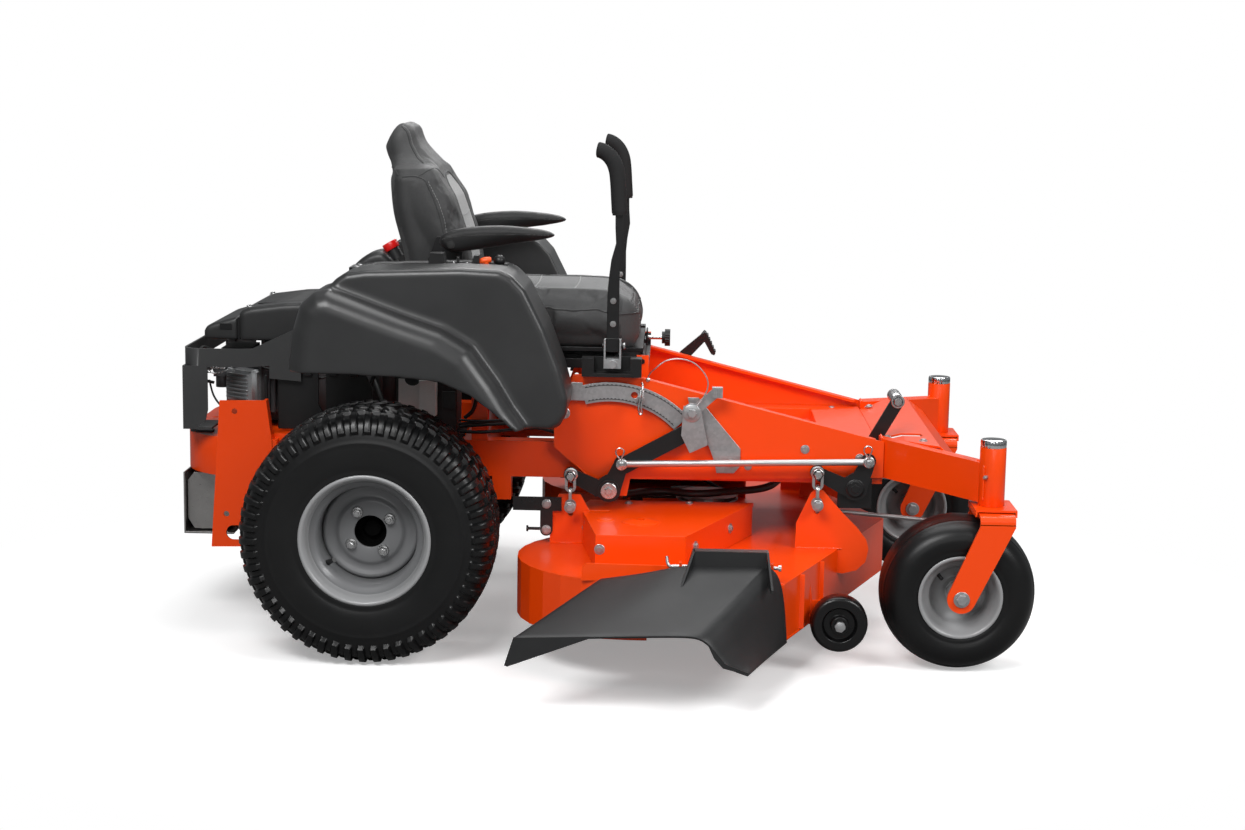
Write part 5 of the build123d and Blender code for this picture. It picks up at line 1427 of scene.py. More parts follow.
def deflector():
    inner = spline([(x, FLAP_INNER_Y, z) for x, z in FLAP_INNER], 5)
    outer = spline([(x, FLAP_OUTER_Y, z) for x, z in FLAP_OUTER], 5)
    rows, n = 16, len(inner)
    points = []
    for j in range(rows + 1):
        t = j / rows
        for i in range(n):
            place = inner[i].lerp(outer[i], t)
            sag = -2.5 * math.sin(math.pi * t) * math.sin(math.pi * min(1, i / (n * 0.55)))
            points.append(to_world((place.x, place.y, place.z + sag)))
    faces = [(k, k + 1, k + n + 1, k + n)
             for j in range(rows) for k in range(j * n, j * n + n - 1)]
    mesh = bpy.data.meshes.new("deflector_flap")
    mesh.from_pydata(points, [], faces)
    give_materials(mesh, "flap_rubber")
    mesh.polygons.foreach_set("use_smooth", [True] * len(faces))
    flap = link_object("deflector_flap", mesh)
    add_modifier(flap, "thick", "SOLIDIFY", thickness=0.0055, offset=1.0,
                 use_even_offset=True)
    add_bevel(flap, 1.4, 50)
    attach(flap, "deflector", ("discharge_deflector",))

    hinge = Shape()
    # turned-down lip at the rear outer corner, and the front wall's outer edge
    hinge.prism([(347, 165.5), (329, 108), (336, 106), (500, 167.5), (500, 171)],
                "Y", FLAP_OUTER_Y, -957.5)
    hinge.prism([(734, 162), (750, 146), (772, 120), (818, 103), (790, 106), (766, 112),
                 (748, 132)], "Y", FLAP_OUTER_Y, -958)
    # hinge box: back wall, top flange and two raked gussets
    hinge.prism([(696, 262), (860, 266), (858, 300), (706, 300)], "Y", -741, -735.5)
    hinge.box(706, 858, -738, -712, 295, 300)
    for x_in, x_out in ((704, 676), (858, 866)):
        rise = (x_out - 600) * 0.03
        gusset = [(x_in, -713, 300), (x_in, -741, 300), (x_out, -812, 229 + rise),
                  (x_out, -812, 222 + rise), (x_in, -741, 238), (x_in, -713, 250)]
        hinge.solid(gusset, [(x + 4.5, y, z) for x, y, z in gusset])
    for x in (700, 772, 844):
        hinge.lathe([(0, 4.1), (0, 9), (10, 9), (10, 4.1)], (x, HINGE_Y, HINGE_Z), "X", 32)
        hinge.box(x, x + 10, -738, -726, 254, 270)
    # ribs under the plate
    for t in (0.30, 0.62):
        ends = [inner[i].lerp(outer[i], t) for i in (int(n * 0.10), int(n * 0.42))]
        hinge.tube([(p.x, p.y, p.z - 4.2) for p in ends], 2.4, 10)

    # the rod stays with the deck while the flap turns on it
    rod = Shape()
    rod.tube([(662, HINGE_Y, HINGE_Z), (884, HINGE_Y, HINGE_Z)], 4.0, 16)
    rod.tube([(884, HINGE_Y, HINGE_Z), (890, HINGE_Y, HINGE_Z)], 7.0, 16)
    rod.tube([(662, HINGE_Y, HINGE_Z), (657, HINGE_Y, HINGE_Z), (652, -716, 268),
              (650, -712, 282)], 3.6, 12, smooth=4)
    rod.make("deflector_rod", "steel_bright", "deck", sharp=40)

    spring = coil((726, HINGE_Y, HINGE_Z), advance=0.40, count=12 * 9, steps=12, radius=6.6)
    hinge.tube([(726, -736, 244)] + spring + [(768, -736, 250)], 1.2, 6, 1)
    hinge.make("deflector_hinge", ["flap_rubber", "steel_bright"], "deflector", sharp=40)


# ======================================================================== caster forks
FORK_HALF, FORK_TOP = 92, 354          # outer face of the arms from the post, top of the strap
FORK_BEND, FORK_THICK = 14.0, 8.0
FORK_REAR, FORK_FRONT = 1322, 1398     # x of the strap's edges
FOOT_RADIUS = 31
ARM_TOP = 330                          # where the arms start to lean towards the axle


def strap_sections():
    """(outer y, outer z, inner y, inner z) from the middle over the bend and down."""
    bend_y, bend_z = FORK_HALF - FORK_BEND, FORK_TOP - FORK_BEND
    sections = [(0, FORK_TOP, 0, FORK_TOP - FORK_THICK)]
    for k in range(9):
        angle = math.radians(90 * k / 8)
        inside = FORK_BEND - FORK_THICK
        sections.append((bend_y + FORK_BEND * math.sin(angle),
                         bend_z + FORK_BEND * math.cos(angle),
                         bend_y + inside * math.sin(angle), bend_z + inside * math.cos(angle)))
    sections.append((FORK_HALF, 334, FORK_HALF - FORK_THICK, 334))
    return sections


def foot_outline():
    """(x, z) of an arm: straight edges tangent to a round foot at the axle."""
    axle = (CASTER_X, CASTER_RADIUS)

    def tangent(x, sign):
        dx, dz = x - axle[0], ARM_TOP - axle[1]
        return math.atan2(dz, dx) + sign * math.acos(FOOT_RADIUS / math.hypot(dx, dz))

    front, rear = tangent(FORK_FRONT, -1), tangent(FORK_REAR, 1)
    arc = [polar(axle, FOOT_RADIUS, front - (2 * math.pi - (rear - front)) * k / 24)
           for k in range(25)]
    return ([(FORK_REAR, 336), (FORK_FRONT, 336), (FORK_FRONT, ARM_TOP)] + arc
            + [(FORK_REAR, ARM_TOP)])


def caster_fork(side, hand):
    y = side * CASTER_Y
    fork = Shape()
    for end in (-1, 1):
        sections = strap_sections()
        points = []
        for out_y, out_z, in_y, in_z in sections:
            points += [(FORK_REAR, y + end * out_y, out_z), (FORK_FRONT, y + end * out_y, out_z),
                       (FORK_FRONT, y + end * in_y, in_z), (FORK_REAR, y + end * in_y, in_z)]
        last = (len(sections) - 1) * 4
        faces = [(0, 1, 2, 3), (last + 3, last + 2, last + 1, last)]
        for i in range(0, last, 4):
            for k in range(4):
                j = (k + 1) % 4
                faces.append((i + k, i + j, i + 4 + j, i + 4 + k))
        fork.add(points, faces)
        near, far = sorted((y + end * (FORK_HALF - FORK_THICK), y + end * FORK_HALF))
        fork.prism(foot_outline(), "Y", near, far)
    # channel welded across the crown
    rear, front = 1318, 1402
    fork.prism([(rear - 3, 346), (rear - 3, 361), (rear + 3, 361.6), (front - 3, 361.6),
                (front + 3, 361), (front + 3, 346), (front - 1, 346), (front - 1, 357),
                (rear + 1, 357), (rear + 1, 346)], "Y", y - 60, y + 60)
    for end in (-1, 1):
        fork.weld((rear - 2, y + end * 60, 354), (rear - 2, y - end * 60, 354), 2.0)
    # collar and post
    fork.lathe([(-5, 12.9), (-5, 24), (1.3, 24), (1.3, 12.9)], (CASTER_POST_X, y, 360), "Z",
               material=1)
    fork.lathe([(0, 0), (0, 12.7), (140, 12.7), (140, 0)], (CASTER_POST_X, y, 355), "Z", 32, 1)
    fork.make(f"caster_fork_{hand}_strap", ["orange_paint", "steel_bright"], "caster_" + hand,
              bevel=1.5, replaces=("caster_fork_" + hand,))

    axle = Shape()
    x, z = CASTER_X, CASTER_RADIUS
    axle.tube([(x, y - 96, z), (x, y + 100, z)], 8, 24)
    for end in (-1, 1):
        axle.lathe([(0, 8), (0, 17.5), (2.2, 17.5), (2.8, 16.8), (2.8, 8)],
                   (x, y + end * 92.1, z), steps=40, sign=end)
        axle.bolt((x, y + end * 94.6, z), (0, end, 0), 13.2, 8.4, washer=0,
                  stud=2.4 if end > 0 else 0, turn=0.4)
    axle.make(f"caster_axle_{hand}", "zinc_plate", "caster_" + hand, sharp=30)


# ======================================================================== chassis details
def post_caps():
    """Fluted caps and grease fittings on the caster posts."""
    caps = Shape()
    profile = [(490.4, 24), (490.4, 27.2), (492, 28.0), (495, 28.2), (503.5, 28.2),
               (506.2, 27.0), (507.4, 24.0), (507.6, 12), (507.6, 0), (503, 0), (503, 24)]

    def flute(k, z, radius):
        return radius - (0.7 if k % 4 in (0, 1) and 491 < z < 505 and radius > 26 else 0)

    for side in (-1, 1):
        caps.lathe(profile, (CASTER_POST_X, side * CASTER_Y, 0), "Z", 96, flute=flute)
        caps.tube([(1340, side * 514, 428), (1336, side * 520, 428)], 4.2, 12, 1)
        caps.tube([(1336, side * 520, 428), (1333, side * 524, 428)], 2.6, 10, 1)
    caps.make("caster_post_caps", ["chrome", "zinc_plate"], slot="steel_bright", sharp=28)


def frame_bolts():
    bolts = Shape()
    # x, z, radius of the bolts on the frame's outer faces
    outer = ((742, 488, 7), (958, 446, 7), (1082, 428, 7), (830, 404, 6), (604, 420, 6))
    for side in (-1, 1):
        for x, z, radius in outer:
            bolts.bolt((x, side * 315.2, z), (0, side, 0), radius, 5.5)
        for x in (660, 1060):
            bolts.dome((x, side * 275, 453), (0, 0, 1), 8, 3.2)
        bolts.bolt((1150, side * 232, 463), (-0.2, 0, 1), 7, 5)
        bolts.bolt((1226, side * 300, 468), (0, 0, 1), 7, 5)
        bolts.bolts([(x, side * 230, 455) for x in (-300, -70)], (0, 0, 1), 9, 7)
    bolts.make("frame_bolts", "zinc_plate", sharp=30)


def frame_welds():
    welds = Shape()
    # start, end (y outward), radius
    beads = (((1132, 301, 386), (1132, 301, 470), 2.2), ((1134, 250, 473), (1134, 300, 473), 2.0),
             ((1325, 462, 374), (1345, 516, 374), 2.2), ((1325, 462, 456), (1345, 516, 456), 2.2),
             ((1334, 512, 376), (1334, 512, 452), 2.0),
             ((440, 315.5, 399), (474, 315.5, 369), 1.8))
    for side in (-1, 1):
        for start, end, radius in beads:
            welds.weld((start[0], side * start[1], start[2]), (end[0], side * end[1], end[2]),
                       radius)
    welds.make("frame_welds", "orange_paint")


def footplate_tread():
    """Raised bars in alternating diagonals."""
    tread = Shape()
    for i in range(12):
        for j in range(9):
            x, y = 716 + i * 25, -200 + j * 50 + (25 if i % 2 else 0)
            if abs(y) > 225:
                continue
            angle = math.radians(45 if (i + j) % 2 else -45)
            dx, dy = polar((0, 0), 10, angle)
            tread.tube([(x - dx, y - dy, 426.2), (x, y, 426.9), (x + dx, y + dy, 426.2)],
                       [0.6, 2.6, 0.6], 8)
    tread.make("footplate_tread", "orange_paint")


# ======================================================================== height quadrant
def quadrant():
    # two toothed tracks along the arc, centred on the rear lift shaft
    tracks = Shape()
    n = 150
    angles = [math.radians(46 + 58.0 * i / n) for i in range(n + 1)]
    for base in (239.0, 207.5):
        outer = [polar(LIFT_REAR, base + (1.7 if (i // 3) % 2 else 0.0), a)
                 for i, a in enumerate(angles)]
        inner = [polar(LIFT_REAR, base - 1.5, a) for a in angles]
        for i in range(n):
            tracks.prism([inner[i], inner[i + 1], outer[i + 1], outer[i]], "Y", -326.0, -327.3)
    tracks.make("quadrant_tracks", "cast_iron", slot="zinc_plate", smooth=False)

    # wire clip round the pin: (x, y, z) with x and z from the pin
    clip = Shape()
    pin_x, pin_z = polar(LIFT_REAR, 223, math.radians(72.0))
    for wire, radius, smooth in (
            ([(0, -357, 0), (2, -366, 12), (4, -362, 30), (2, -352, 36)], 2.2, 6),
            ([(-3, -362, -30), (-5, -366, -16), (-2, -366, 6), (0, -362, 22)], 2.6, 6),
            ([(3, -362, -30), (1, -366, -16), (4, -366, 6), (5, -362, 22)], 2.6, 6),
            ([(-3, -362, -30), (0, -363, -34), (3, -362, -30)], 2.6, 4)):
        clip.tube([(pin_x + x, y, pin_z + z) for x, y, z in wire], radius, smooth=smooth)
    clip.make("height_pin_clip", "steel_bright", "height_stop")

    # lanyard: a loose loop from the panel, up and over and down to the pin
    lanyard = Shape()
    lanyard.tube([(600, -317, 605), (606, -335, 617), (615.4, -352, 628), (637.4, -356, 646),
                  (666.3, -358, 652.5), (697.7, -358, 646), (720.4, -357, 627.5),
                  (733.5, -357, 605), (732.6, -357, 583), (722, -358, 562),
                  (710, -359, 546)], 1.5, 8, 2, smooth=10)
    lanyard.dome((600, -315.5, 598), (0, -1, 0), 5, 3, 1)
    lanyard.make("pin_lanyard", ["hose_rubber", "steel_bright", "zinc_plate"],
                 slot="black_plastic")

    # large washer and ribs on the lock lever's thumb tab
    lock = Shape()
    lock.lathe([(0, 6), (0, 20), (-2, 20), (-2.6, 19), (-2.6, 6)], (700, -351, 529), steps=40)
    for k in range(4):
        lock.box(746 + 5.2 * k, 748.2 + 5.2 * k, -363.3, -361.5, 568, 588)
    lock.make("lock_lever_trim", "zinc_plate", "transport_lock", bevel=0.5)

    bolts = Shape()
    outward = (0, -1, 0)
    bolts.bolt((700, -354.0, 529), outward, 10.8, 7, washer=0, turn=0.2)
    bolts.bolt((412, -326.0, 570), outward, 7.5, 5.5)
    bolts.bolt((792, -321.0, 410), outward, 7.0, 5.0)
    bolts.bolt((412, -315.6, 518), outward, 9, 6)
    bolts.make("quadrant_bolts", "zinc_plate", sharp=30)


# ======================================================================== lift linkage
HANGER_BACK = 86     # the lift arms' end pins lie this far behind the shafts
ROD_PIN = (28, 63)   # x and z of the rod pins from the shafts


def washer_profile(radius, thick, lip, chamfer, bore):
    return [(0, bore), (0, radius), (thick, radius), (lip, radius - chamfer), (lip, bore)]


def lift_bolts(name, x, z):
    bolts = Shape()
    for side in (-1, 1):
        outward = (0, side, 0)
        if name == "rear":
            bolts.lathe(washer_profile(18.5, 2.4, 3, 0.9, 6), (x, side * 347.2, z), steps=40,
                        sign=side)
            bolts.bolt((x, side * 349.6, z), outward, 9.4, 7, washer=0)
        else:
            bolts.lathe(washer_profile(21, 2.4, 3, 1, 6), (x, side * 341.2, z), steps=40,
                        material=1, sign=side)
            bolts.bolt((x, side * 344, z), outward, 11, 7, 1, washer=0)
        end_x, end_z = x - HANGER_BACK, z + 35
        bolts.lathe(washer_profile(15.4, 1.8, 2.2, 0.8, 6), (end_x, side * 341.4, end_z),
                    steps=36, sign=side)
        bolts.bolt((end_x, side * 366.6, end_z), outward, 9.6, 7.0, washer=1.28, turn=0.5)
    if name == "front":
        # foot tube with its end washer and bolt
        bolts.lathe([(0, 9), (0, 14.8), (1, 15.2), (92, 15.2), (93, 14.6), (93, 9)],
                    (1174, -209.5, 545))
        bolts.lathe([(0, 6), (0, 15.6), (-2, 15.6), (-2.6, 14.8), (-2.6, 6)],
                    (1174, -218.2, 545), steps=40)
        bolts.bolt((1174, -220.4, 545), (0, -1, 0), 10.5, 7, washer=0)
    bolts.make(f"lift_{name}_bolts", ["steel_bright", "black_paint"], "lift_" + name,
               "zinc_plate", sharp=32)


def rod_clips():
    """Washers, pins and hairpin clips on the link rods."""
    clips = Shape()
    hairpin = [(-1, 3), (-5, 14), (-12, 24), (-12, 33), (-4, 38), (5, 33), (4, 24), (0, 14),
               (4, 2), (2, -12)]   # x, z from the pin
    for side in (-1, 1):
        for shaft in (LIFT_REAR, LIFT_FRONT):
            x, z = shaft[0] + ROD_PIN[0], shaft[1] + ROD_PIN[1]
            clips.lathe([(0, 5), (0, 12.6), (2.4, 12.8), (3.2, 11.8), (3.2, 7.4), (7.6, 6.8),
                         (8.2, 5.4), (8.2, 0), (0, 0)], (x, side * 357.0, z), steps=36,
                        sign=side)
            clips.tube([(x + dx, side * 360.5, z + dz) for dx, dz in hairpin], 1.7, 8,
                       smooth=6)
    clips.make("link_rod_clips", "steel_bright", "lift_rods", sharp=40)


# ======================================================================== cutting deck
def deck_bolts():
    bolts = Shape()
    up = (0, 0, 1)
    # x, y of bolts on the belt covers' sides, and the x, y they face
    cover = ((505, 600, (0, 1)), (712, 548, (0.92, 0.38)), (792, 354, (0.92, 0.38)),
             (470, 390, (-0.9, 0.4)), (462, 330, (-0.9, 0.3)))

    def spindle(x, y):
        for k in range(4):
            place = polar((x, y), 54, math.radians(45 + 90 * k))
            bolts.bolt((*place, 231), up, 7, 5)

    for side in (-1, 1):
        outward = (0, side, 0)
        for x, y, (face_x, face_y) in cover:
            bolts.bolt((x, side * y, 268 if x > 500 else 282), (face_x, side * face_y, 0),
                       7.2, 5.5, washer=1.6)
        bolts.bolts([(x, side * y, 300) for x, y in ((560, 250), (700, 235))], up, 6.5, 5)
        # pins and slot bolts on the hangers
        for shaft in (LIFT_REAR, LIFT_FRONT):
            x, z = shaft[0] - HANGER_BACK, shaft[1] - 33
            bolts.bolt((x, side * 382.2, z), outward, 9.6, 6.5, washer=1.35, turn=0.4)
            bolts.lathe([(0, 5), (0, 13), (2, 13), (2, 5)], (x, side * 349.6, z), steps=32,
                        sign=side)
        bolts.bolts([(376, side * 355, z) for z in (316, 256)], outward, 8.6, 5, washer=1.25)
        bolts.bolts([(x, side * 349, z) for x, z in ((466, 262), (494, 250))], outward, 6.5, 5)
        bolts.bolt((1026, side * 610.5, 111), outward, 12.0, 4.0, washer=0, stud=1.5,
                   turn=0.25)
        spindle(SPINDLE_X, side * SPINDLE_Y)
    spindle(745, 0)
    bolts.make("deck_bolts", "zinc_plate", "deck", sharp=30)


def deck_front(y):
    """x of the deck's raked front edge at a distance from the middle."""
    return 1173 - 0.387 * y


def deck_welds():
    """Weld beads, rolled lower rim, front stiffeners and cover bosses."""
    welds = Shape()
    for side in (-1, 1):
        for x0, x1 in ((941, 1045), (385, 498)):
            for y in (349.5, 342.5):
                welds.weld((x0, side * y, DECK_TOP), (x1, side * y, DECK_TOP), 2.6)
        welds.weld((931, side * 534.5, 221), (960, side * 534.5, 221), 2.2)
    welds.weld((474, -694.5, DECK_TOP), (688, -694.5, DECK_TOP), 2.2)
    welds.weld((866, -706, DECK_TOP), (896, -706, DECK_TOP), 2.4)
    for side in (-1, 1):
        corner = deck_front(706) - 4
        rear = 571 if side > 0 else 872
        welds.tube([(1170, 0, 100), (corner, side * 706, 100)], 3.4)
        welds.tube([(corner, side * 707.5, 100), (rear, side * 708.5, 100)], 3.4)
        for y in (470, 600):
            x = deck_front(y)
            welds.box(x - 3, x + 7, side * y - 3, side * y + 3, 104, 222)
        welds.lathe([(0, 9.5), (0, 42), (1.5, 42), (7, 16), (7, 9.5)],
                    (591, side * SPINDLE_Y, 299.8), "Z", 64)
    welds.lathe([(0, 0), (0, 20), (3, 17), (4, 0)], (512, -440, 299.8), "Z", 40)
    welds.make("deck_welds", "orange_paint", "deck", sharp=34)


def deck_hose():
    hose = Shape()
    hose.tube([(548, -214, 313), (584, -194, 315), (640, -180, 316), (720, -200, 316),
               (800, -170, 318), (860, -110, 312), (900, -20, 306), (930, 120, 300)], 9, 12,
              smooth=8)
    hose.make("deck_hose", "hose_rubber", "deck", "belt_rubber")


def stabiliser_rods():
    """Rods that run forward from upright plates on the deck."""
    rods = Shape()
    for side in (-1, 1):
        y = side * 253
        eye = (1000, y, 295.3)
        rods.tube([(1006, y, 294.8), (1020, y, 293.7), (1262, y, 275.2)], 5.0, 14)
        rods.lathe([(-7, 5), (-7, 11), (7, 11), (7, 5)], eye, steps=28)
        rods.bolt((eye[0], y + side * 7, eye[2]), (0, side, 0), 8, 5, 1, washer=1.2)
        rods.tube([(eye[0], y - 8, eye[2]), (eye[0], y + 8, eye[2])], 5.2, 14, 1)
        rods.prism([(982, DECK_TOP), (1018, DECK_TOP), (1012, 295), (1000, 307), (988, 295)],
                   "Y", y - side * 12, y - side * 8, 2)
    rods.make("stabiliser_rods", ["rod_steel", "zinc_plate", "orange_paint"], "deck",
              "zinc_plate", sharp=40)


# ======================================================================== controls
def fuel_cap():
    cap = Shape()

    def flute(k, z, radius):
        return radius - (1.6 if k % 6 in (0, 1) and 874 < z < 892 and radius > 38 else 0)

    cap.lathe([(872.6, 28), (872.6, 40.5), (875, 42), (889, 42), (893, 39.5), (894, 34),
               (894, 0), (851, 0), (851, 27.8)], (-5, 470, 0), "Z", 72, flute=flute)
    cap.box(-31, 21, 465, 475, 894, 899)
    cap.make("fuel_cap_ribbed", "black_plastic", "filler_cap", sharp=34,
             replaces=("fuel_cap",))


def console():
    top = 850
    up = (0, 0, 1)
    screws = Shape()
    screws.bolts([(x, y, top) for x, y in ((-44, -366), (-44, -416), (272, -366),
                                           (160, -368), (96, -416))], up, 5, 4)
    screws.bolt((168, -398, top), up, 6, 6, stud=8)
    screws.bolt((196, -380, top), up, 5, 6, stud=5)
    screws.make("console_screws", "steel_bright", slot="zinc_plate", sharp=30)
    fittings = Shape()
    fittings.box(176, 182, -418, -408, top, 876)
    fittings.tube([(243, -402, 852), (243, -402, 856)], 9, 20)
    fittings.lathe([(0, 0), (0, 13), (3, 14), (9, 12.5), (10, 0)], (130, -372, top), "Z", 28)
    fittings.make("console_fittings", "black_plastic", bevel=0.6)


def hand_controls():
    choke = Shape()  # T bar on a stem
    choke.tube([(226, -402, 864), (231, -402, 866.5), (238, -402, 868.5), (246, -402, 869.5),
                (251, -402, 870)], [5.2, 7.0, 7.4, 7.0, 5.2], 16)
    choke.tube([(240, -402, 846), (240, -402, 860), (240, -402, 868)], [5.2, 5.6, 7.2], 16)
    choke.make("choke_handle", "orange_plastic", "choke", "orange_paint", sharp=50,
               replaces=("choke_knob",))
    throttle = Shape()  # ball on a stem
    half = [(-13, 0), (-12.4, 4), (-10.6, 7.6), (-8, 10.3), (-4.2, 12.4), (0, 13.1)]
    throttle.lathe(half + mirrored(half[:-1]), (269, -400, 868), "Z", 36)
    throttle.tube([(266, -400, 836), (266.5, -400, 848), (268, -400, 858)], [3.4, 3.6, 5.2],
                  14, 1)
    throttle.make("throttle_ball", ["black_plastic", "steel_bright"], "throttle", sharp=60,
                  replaces=("throttle_lever",))


def brake_ribs():
    ribs = Shape()
    for i in range(5):
        x, z = 743 + 19 * i / 4, 623 - 41 * i / 4
        ribs.tube([(x + 0.8, 324, z), (x + 0.8, 371, z)], 2.2)
    ribs.make("brake_pad_ribs", "hose_rubber", "brake", "black_plastic")


# ======================================================================== engine bay
def engine_heads():
    """Finned rocker cover, its bolts and a plug lead on each cylinder."""
    heads = Shape()
    outline = [(-46, -40), (46, -40), (50, -34), (50, 34), (46, 40), (-46, 40), (-50, 34),
               (-50, -34)]
    layers = [(1.0, 0), (1.0, 10), (0.9, 20), (0.72, 25)]  # scale, height
    for side in (-1, 1):
        out = Vector((-0.62, side * 0.78, 0)).normalized()
        along = Vector((out.y, -out.x, 0))
        origin = Vector((-200, side * 60, 555)) + out * 208

        def place(x, z, height):
            flat = origin + along * x + out * height
            return (flat.x, flat.y, flat.z + z)

        heads.loft([[place(x * scale, z * scale, height) for x, z in outline]
                    for scale, height in layers])
        heads.bolts([place(x, z, 10) for x, z in ((-40, -30), (40, -30), (-40, 30), (40, 30))],
                    out, 6, 8, material=1)
        for z in (-27, -18, -9, 0, 9, 18, 27):
            fin = ((-36, z - 1.6), (36, z - 1.6), (36, z + 1.6), (-36, z + 1.6))
            heads.solid([place(*p, 16) for p in fin], [place(*p, 29) for p in fin])
        heads.tube([place(58, 20, 2), place(70, 10, 0), place(82, 24, -30), place(60, 60, -70),
                    place(20, 84, -110)], 4.2, 10, 2, smooth=8)
    heads.make("engine_heads", ["cast_alloy", "zinc_plate", "hose_rubber"], bevel=1.6)


def carburettor():
    """Body, linkage rods, springs and cables at the rear right."""
    carb = Shape()
    carb.lathe([(0, 0), (0, 20), (4, 23), (30, 23), (34, 26), (40, 26), (42, 18), (42, 0)],
               (-396, -172, 586), steps=40)
    carb.box(-414, -376, -178, -150, 566, 606)
    carb.lathe([(0, 0), (0, 16), (26, 16), (30, 12), (30, 0)], (-396, -160, 540), "Z", 32)
    for rod in ([(-430, -196, 600), (-404, -200, 606), (-380, -204, 604), (-350, -214, 612),
                 (-322, -222, 604)],
                [(-432, -206, 584), (-400, -210, 578), (-372, -214, 586), (-340, -220, 580)]):
        carb.tube(rod, 2.0, 8, 1, smooth=6)
    carb.prism([(-440, 600), (-428, 612), (-412, 606), (-416, 580), (-430, 572), (-440, 584)],
               "Y", -200, -197, 1)
    carb.prism([(-392, 612), (-372, 618), (-366, 600), (-384, 590)], "Y", -206, -203, 1)
    for start, length in (((-412, -216, 594), 32), ((-372, -222, 598), 26)):
        carb.tube(coil(start, advance=length / 90, count=91, steps=10, radius=4.2), 0.9, 6, 1)
    carb.bolt((-352, -214, 616), (0, -1, 0), 7, 6, 1)
    carb.bolt((-420, -200, 590), (0, -1, 0), 6, 5, 1)
    for cable, radius, count in (
            ([(-420, -196, 560), (-408, -214, 530), (-392, -226, 510), (-372, -236, 496),
              (-350, -240, 470)], 2.4, 8),
            ([(-322, -222, 604), (-290, -250, 600), (-240, -262, 590), (-180, -260, 576),
              (-120, -262, 590), (-60, -268, 640), (0, -300, 700), (60, -340, 780)], 3.2, 8),
            ([(-400, -186, 620), (-430, -214, 640), (-436, -230, 610), (-424, -238, 570),
              (-400, -236, 560)], 3.6, 10)):
        carb.tube(cable, radius, count, 2, smooth=8)
    carb.make("carburettor_linkage", ["cast_iron", "steel_bright", "hose_rubber"],
              slot="cast_alloy", sharp=36)


def side_shields():
    """Two plates with raised blocks on the right of the engine, and an upright tube."""
    shields = Shape()
    shields.prism([(-246, 462), (-246, 600), (-236, 612), (-160, 612), (-152, 600),
                   (-152, 520), (-140, 500), (-140, 462)], "Y", -276, -268)
    shields.prism([(-136, 462), (-136, 606), (-128, 614), (-56, 614), (-48, 600), (-30, 560),
                   (-30, 462)], "Y", -276, -268)
    for x in (-226, -176, -118, -72):
        shields.box(x - 9, x + 9, -284, -276, 586, 606)
    shields.tube([(-268, -300, 470), (-268, -300, 590)], 4.2, 12)
    shields.make("engine_side_shields", "black_plastic", bevel=2.0)


def battery_label():
    """Blank label with a rounded notch in its top edge."""
    label = Shape()
    notch = [(58 + 18 * math.cos(math.pi * i / 12), 578 - 16 * math.sin(math.pi * i / 12))
             for i in range(13)]
    label.prism([(26, 470), (90, 470), (90, 578)] + notch + [(26, 578)], "Y", -240.2, -238.2)
    label.make("battery_label", "label_plastic", slot="battery_case", smooth=False)


def electrical():
    """Battery terminals and leads, two small boxes and the wires running forward."""
    parts = Shape()
    parts.box(34, 56, -162, -138, 592, 606, 1)
    parts.box(124, 146, -162, -138, 592, 606, 2)
    parts.tube([(45, -150, 600), (30, -180, 626), (-10, -210, 620), (-40, -230, 560),
                (-50, -236, 480)], 5, 12, smooth=8)
    parts.tube([(135, -150, 600), (160, -180, 630), (200, -230, 610), (230, -262, 560),
                (232, -270, 470)], 5, 12, 1, smooth=8)
    parts.box(80, 118, -300, -262, 500, 584, 3)
    parts.box(134, 164, -304, -298, 520, 560)
    parts.tube([(150, -302, 584), (158, -330, 610), (192, -336, 600), (212, -320, 560),
                (204, -306, 520), (184, -300, 500)], 4.5, 12, smooth=8)
    for i, (y, z) in enumerate(((-306, 496), (-300, 486), (-294, 478), (-308, 470))):
        parts.tube([(172, y, z), (240, y - 6, z + 8 * math.sin(i)), (350, y + 4, z + 10),
                    (420, y, z - 6), (470, y + 10, z + 4)], 3.0 + 0.4 * i, 8, smooth=8)
    parts.make("electrical_parts",
               ["hose_rubber", "red_plastic", "black_plastic", "white_plastic"],
               slot="black_plastic", bevel=1.2)


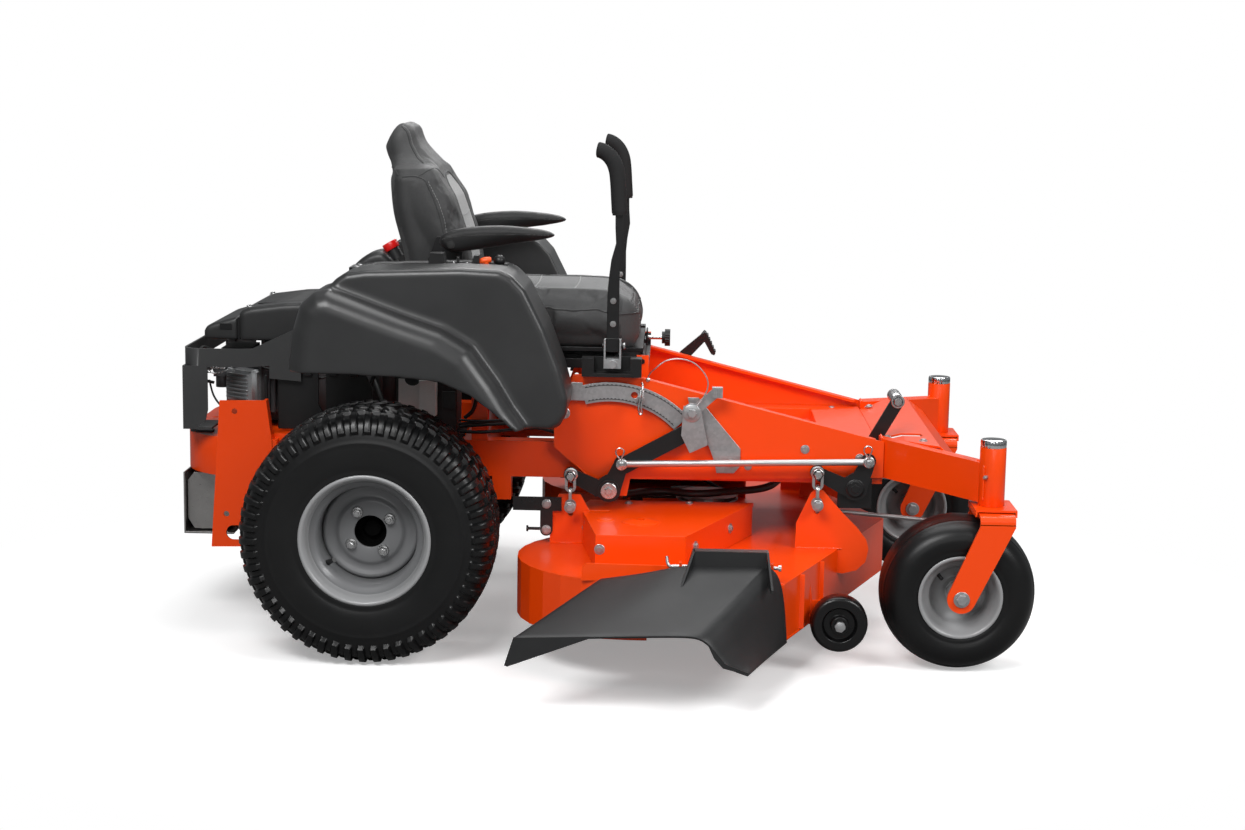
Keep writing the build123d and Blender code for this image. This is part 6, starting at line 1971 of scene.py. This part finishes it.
# ======================================================================== stage, metres
def floor():
    half, level = 14.0, -0.0005
    mesh = bpy.data.meshes.new("floor")
    mesh.from_pydata([(-half, -half, level), (half, -half, level), (half, half, level),
                      (-half, half, level)], [], [(0, 1, 2, 3)])
    made = link_object("floor", mesh)
    shader = Shader("floor_pale")
    tone = shader.noise(scale=2.0, detail=3, roughness=0.5)
    shader.set(Base_Color=shader.mix(tone, (0.90, 0.90, 0.90), (0.92, 0.92, 0.92)),
               Roughness=0.85, Specular_IOR_Level=0.1)
    # to the camera the floor is lifted, and fades to plain white away from the origin
    white = (1, 1, 1, 1)
    lift = shader.node("Emission", {0: white, 1: 0.30})
    lifted = shader.node("AddShader", {0: shader.surface.outputs[0], 1: lift.outputs[0]})
    plain = shader.node("Emission", {0: white, 1: 1.0})
    distance = shader.node("VectorMath", {0: shader.stretched(0.95, 1.05, 1.0)},
                           operation="LENGTH").outputs["Value"]
    fade = shader.math("MULTIPLY", shader.math("SUBTRACT", distance, 0.75), 1.1)
    seen = shader.node("MixShader", {0: shader.ramp(fade, (0.0, 0.0), (1.0, 1.0)),
                                     1: lifted.outputs[0], 2: plain.outputs[0]})
    # to all other rays it is a dim grey
    dim = shader.node("BsdfDiffuse", {0: (0.22, 0.22, 0.22, 1)})
    camera_ray = shader.node("LightPath").outputs["Is Camera Ray"]
    final = shader.node("MixShader", {0: camera_ray, 1: dim.outputs[0], 2: seen.outputs[0]})
    feed(shader.tree, shader.output.inputs[0], final.outputs[0])
    give_materials(mesh, "floor_pale")


def world():
    """Soft bluish light, seen as plain white by the camera."""
    studio = bpy.data.worlds.new("studio")
    bpy.context.scene.world = studio
    studio.use_nodes = True
    tree = studio.node_tree
    tree.nodes.clear()
    light = add_node(tree, "Background", {0: (0.96, 0.98, 1.0, 1), 1: 0.22})
    backdrop = add_node(tree, "Background", {0: (1, 1, 1, 1), 1: 1.0})
    camera_ray = add_node(tree, "LightPath").outputs["Is Camera Ray"]
    mix = add_node(tree, "MixShader", {0: camera_ray, 1: light.outputs[0],
                                       2: backdrop.outputs[0]})
    add_node(tree, "OutputWorld", {0: mix.outputs[0]})


def area_light(name, place, target, width, height, power):
    lamp = bpy.data.lights.new(name, "AREA")
    lamp.shape = "RECTANGLE"
    lamp.size, lamp.size_y = width, height
    lamp.energy = power
    made = bpy.data.objects.new(name, lamp)
    made.location = place
    aim = Vector(target) - Vector(place)
    made.rotation_euler = aim.to_track_quat("-Z", "Y").to_euler()
    bpy.context.scene.collection.objects.link(made)


def lights():
    area_light("key", (-1.2, -3.6, 3.6), (0, 0, 0.5), width=2.2, height=1.4, power=165)
    area_light("front_soft", (3.2, -2.6, 2.9), (0.1, 0, 0.5), width=1.8, height=1.6, power=105)
    area_light("top", (0.2, 0.4, 4.0), (0, 0, 0.4), width=3.0, height=2.0, power=80)
    area_light("back_rim", (0.5, 3.4, 2.8), (0, 0, 0.6), width=3.0, height=1.0, power=60)
    area_light("low_fill", (0.3, -4.6, 1.6), (0, 0, 0.4), width=3.0, height=0.8, power=16)


def camera():
    """Camera on the right of the machine, looking to +y and slightly down."""
    heading, pitch, roll = 0.02153, 0.15842, 0.01692   # radians
    lens = bpy.data.cameras.new("cam")
    lens.sensor_fit = "HORIZONTAL"
    lens.sensor_width = 36.0
    lens.lens = 62.454043
    lens.clip_start, lens.clip_end = 0.05, 100.0
    made = bpy.data.objects.new("cam", lens)
    forward = Vector((-math.sin(heading) * math.cos(pitch),
                      math.cos(heading) * math.cos(pitch), -math.sin(pitch)))
    level = Vector((math.cos(heading), math.sin(heading), 0))
    above = level.cross(forward)
    right = math.cos(roll) * level + math.sin(roll) * above
    up = -math.sin(roll) * level + math.cos(roll) * above
    pose = Matrix((right, up, -forward)).transposed().to_4x4()
    pose.translation = Vector((AXLE_X + 0.647484, AXLE_Y - 5.138716, 1.287046))
    made.matrix_world = pose
    scene = bpy.context.scene
    scene.collection.objects.link(made)
    scene.camera = made
    scene.view_settings.view_transform = "Standard"
    scene.view_settings.look = "None"
    scene.view_settings.exposure = 0.0


# ======================================================================== build
def for_both_sides(*builders):
    for side, hand in SIDES:
        for builder in builders:
            builder(side, hand)


make_materials()
dress_nodes()
for_both_sides(rear_tyre, rear_wheel)
for_both_sides(caster_wheel)
for_both_sides(fender)
seat()
for_both_sides(armrest)
for_both_sides(steering_lever)
engine_covers()
hydraulic_reservoir()
deflector()
for_both_sides(caster_fork)
post_caps()
frame_bolts()
frame_welds()
footplate_tread()
quadrant()
lift_bolts("rear", *LIFT_REAR)
lift_bolts("front", *LIFT_FRONT)
rod_clips()
deck_bolts()
deck_welds()
deck_hose()
stabiliser_rods()
fuel_cap()
console()
hand_controls()
brake_ribs()
engine_heads()
carburettor()
side_shields()
battery_label()
electrical()
floor()
world()
lights()
camera()
